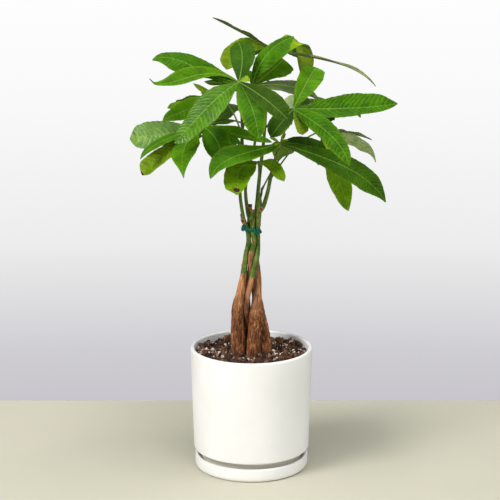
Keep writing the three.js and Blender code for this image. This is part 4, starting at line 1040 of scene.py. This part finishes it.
def add_blade(shape, hub, faces, leaflet, index, seed, spots):
    """One leaflet: a folded, arched and quilted blade about a curved rib from the hub to its tip."""
    (x, y, z, left, right, near, far, bend_near, bend_far, roll, left_shape, right_shape,
     tone, quilt, gloss, edge, dry, hook) = leaflet
    hub, tip = np.array(hub, float), np.array([x, y, z], float)
    along = unit(tip - hub)
    up = unit(np.array(faces) - along * np.dot(faces, along))
    up = turn_about(up, along, math.radians(roll))
    side = np.cross(along, up)
    first = hub + (tip - hub) * RIB_NEAR + (up * near + side * bend_near) * RIB_PULL
    second = hub + (tip - hub) * RIB_FAR + (up * far + side * bend_far) * RIB_PULL
    width = left + right

    v = np.linspace(0, 1, ALONG_STEPS + 1)
    v = v + 0.035 * np.sin(2 * np.pi * v)
    t = v[:, None]
    s = 1 - t
    centre = s ** 3 * hub + 3 * s * s * t * first + 3 * s * t * t * second + t ** 3 * tip
    tangent = unit(s * s * (first - hub) + 2 * s * t * (second - first) + t * t * (tip - second))
    across = unit(side - tangent * (tangent @ side)[:, None])
    normal = np.cross(across, tangent)
    length = run_along(centre)[-1]

    u = ACROSS[None, :]
    a = np.abs(u)
    way = np.sign(u)
    wide = np.where(u < 0, left * outline_width(left_shape, t), right * outline_width(right_shape, t))
    mid = a * wide

    def wave_of(times, shift, turn):
        return np.sin(2 * np.pi * (times * t + shift * seed) + turn * way)

    # Side veins lean forward; rib counts them along the blade, and the halves take turns.
    lean = (0.085 * a + 0.05 * a * a) * np.sin(np.pi * np.clip(t * 0.86 + 0.07, 0, 1)) * width / 34
    rib = (t - lean) * length / (VEIN_GAP if width > SMALL_WIDTH else VEIN_GAP_SMALL)
    rib = rib + 0.5 * (u < 0) * np.clip(a / 0.12, 0, 1)
    rib = rib + 0.3 * wave_of(1.6, 0.37, 1.3) + 0.2 * a * np.sin(9 * t + seed)
    from_vein = np.abs(rib - np.round(rib)) * 2
    body = ease(0.02, 0.16, t) * (1 - ease(0.88, 1, t))
    inland = ease(0.02, 0.25, a) * (1 - 0.75 * ease(0.7, 1, a))
    pillow = np.sin(np.pi / 2 * from_vein) ** 1.2 * inland * body
    ripple = 0.35 * a ** 3 * np.sin(2 * np.pi * rib) * body

    wave = np.sin(2 * np.pi * BLADE_WAVES * t + index + 2 * way) * BLADE_WAVE
    lift = wide * (a ** 1.12 * math.sin(BLADE_FOLD) + 2 * a ** 1.6 * wave)
    frill = 0.044 * wide * a ** 3 * wave_of(3.1, 0.13, 2.1)
    gutter = -0.45 * np.exp(-(mid / 2.2) ** 2) + 0.42 * np.exp(-(mid / 0.75) ** 2)
    top = lift + frill + quilt * (0.75 * pillow + ripple) + gutter * (1 - 0.6 * t)
    top = top - hook * ease(0.86, 1, t) ** 1.4 * 1.6
    uneven = 0.012 * wave_of(7.3, 0.31, 1) + 0.008 * np.sin(2 * np.pi * 13.7 * t + seed)
    reach = u * wide * math.cos(BLADE_FOLD) * (1 + uneven * a ** 4)
    keel = (1.25 * (1 - t) ** 1.3 + 0.30) * np.exp(-(mid / 0.95) ** 2)
    thick = RIM_THICK + (TOP_THICK - RIM_THICK) * (1 - a ** 4) + keel

    upper = centre[:, None] + across[:, None] * reach[..., None] + normal[:, None] * top[..., None]
    lower = upper - normal[:, None] * thick[..., None]
    rows, columns = len(v), len(ACROSS)

    def both(*grids):
        """A triple for every point of the upper side, and again for the lower side."""
        once = np.stack([np.broadcast_to(g, (rows, columns)) for g in grids], -1).reshape(-1, 3)
        return np.vstack([once, once])

    burn = dry * np.maximum(ease(0.955, 1.0, t), 0.55 * ease(0.9, 1.0, t) * ease(0.5, 1, a)) * 0.9
    for along_at, across_at, size in spots:
        gap = np.hypot((t - along_at) * length, (u - across_at) * wide)
        burn = np.maximum(burn, 1.1 * (1 - ease(size * 0.55, size, gap)))
    place = both(u, t, 0)
    place[rows * columns:, 2] = 1
    shape.add(
        np.vstack([upper.reshape(-1, 3), lower.reshape(-1, 3)]),
        blade_faces(rows, columns),
        2 if gloss > GLOSSY else 0,
        place=place,
        rib=both(rib, mid / (0.45 + 0.55 * (1 - t)), quilt),
        grain=both(u * wide, t * length, seed * 9.7),
        wear=both(edge, burn, gloss),
        tone=np.array(TONES[tone]) * (0.88 + 0.05 * math.sin(seed * 2.7)),
    )


def add_petiole(shape, root, hub, seed):
    """A round stalk, thicker at its root and at the hub, with a low dome over the hub."""
    root, hub = np.array(root, float), np.array(hub, float)
    middle = (root + hub) / 2
    middle[2] += PETIOLE_RISE * math.hypot(*(hub - root)[:2])
    stations = [[*point, PETIOLE_RADIUS] for point in (root, middle, hub)]
    centre, tangent, _, run, out = stem_rings(stations, PETIOLE_STEPS, PETIOLE_SIDES)
    length = run[-1]
    radius = 1.08 + 0.75 * np.exp(-(run / 5) ** 2) + 1.25 * np.exp(-((length - run) / 3.2) ** 2)
    radius[-1] *= 0.82
    dome = hub + tangent[-1] * 1.2 + out[-1]
    points = np.vstack([(centre[:, None] + out * radius[:, None, None]).reshape(-1, 3), dome])
    turned = np.vstack([out.reshape(-1, 3), out[-1]])
    along = np.repeat(np.append(run, length + 1), PETIOLE_SIDES)
    grain = np.column_stack([turned[:, :2] * 1.2, along]) + seed * 11.0
    shape.add(points, tube_faces(len(centre) + 1, PETIOLE_SIDES), 1, grain=grain)


def make_leaves():
    for number, (name, (root, hub, faces, leaflets)) in enumerate(LEAVES.items()):
        shape = Shape("place", "rib", "grain", "wear", "tone")
        add_petiole(shape, root, hub, number)
        for index, leaflet in enumerate(leaflets + YOUNG.get(name, [])):
            spots = [spot[2:] for spot in SPOTS if spot[:2] == (name, index)]
            add_blade(shape, hub, faces, leaflet, index, number * 7 + index, spots)
        shape.build("foliage_" + name, [LEAF, STALK, SHINY], name)


make_leaves()


# ---- table, backdrop and light

def make_table():
    """A pale slab whose far edge is the horizon of the picture."""
    half, front, back, thick, bevel = 2600, -3200, 262, 30, 4
    corners = [(-half, front), (half, front), (half, back), (-half, back)]
    points = []
    for inset, z in ((0, -thick), (0, -bevel), (bevel * 0.3, -bevel * 0.3), (bevel, 0)):
        points += [(x - math.copysign(inset, x), y - math.copysign(inset, y), z) for x, y in corners]
    mesh = bpy.data.meshes.new("table")
    mesh.from_pydata((np.array(points) * MM).tolist(), [], tube_faces(4, len(corners)))
    look = new_look("table")
    cloud = look.noise(look.place(), 3, 3, 0.5)
    tooth = look.noise(look.place(), 700, 2, 0.5)
    colour = look.mix(look.span(cloud, 0.3, 0.7), (0.510, 0.490, 0.385), (0.545, 0.520, 0.415))
    relief = look.bump(tooth, 0.1, 0.0002)
    mesh.materials.append(look.finish(Base_Color=colour, Roughness=0.7, Normal=relief))
    table = new_object("table", mesh)


# The backdrop's colours, from the horizon up.
BACKDROP = [
    (0.0, (0.560, 0.545, 0.590)),
    (0.16, (0.620, 0.610, 0.640)),
    (0.42, (0.845, 0.843, 0.845)),
    (0.75, (0.945, 0.945, 0.945)),
    (1.0, (0.985, 0.985, 0.985)),
]


def make_world():
    """A pale backdrop, brighter above, that also lights the object softly."""
    look = Look(bpy.data.worlds.new("studio"))
    bpy.context.scene.world = look.owner
    look.tree.nodes.clear()
    height = look.split(look.node("TexCoord").outputs["Generated"])[2]
    spread = look.node("MapRange", {"Value": height, "From Min": -0.33, "From Max": -0.10})
    ramp = look.node("ValToRGB", {0: spread.outputs[0]})
    stops = ramp.color_ramp.elements
    while len(stops) < len(BACKDROP):
        stops.new(0.5)
    for stop, (at, colour) in zip(stops, BACKDROP):
        stop.position, stop.color = at, (*colour, 1)
    seen = look.node("Background", {"Color": ramp.outputs[0]})
    lit = look.node("Background", {"Color": (0.93, 0.97, 1.0), "Strength": 0.30})
    direct = look.node("LightPath").outputs["Is Camera Ray"]
    both = look.node("MixShader", {0: direct, 1: lit.outputs[0], 2: seen.outputs[0]})
    look.node("OutputWorld", {0: both.outputs[0]})


def make_light(name, place, target, size, power, colour=(1, 1, 1)):
    data = bpy.data.lights.new(name, "AREA")
    data.shape = "DISK"
    data.size, data.energy, data.color = size, power, colour
    light = new_object(name, data)
    light.location = place
    light.rotation_euler = (Vector(target) - Vector(place)).to_track_quat("-Z", "Y").to_euler()


make_table()
make_world()
make_light("key", (-2.3, -1.9, 2.5), (0, 0, 0.28), 1.7, 110, (1.0, 0.99, 0.975))
make_light("fill", (1.4, -3.0, 1.5), (0, 0, 0.3), 2.0, 27, (0.98, 0.985, 1.0))
make_light("side", (2.5, -0.7, 2.4), (0, 0, 0.2), 1.6, 15)
make_light("top", (0.2, -0.3, 2.7), (0, 0, 0.2), 1.6, 38)
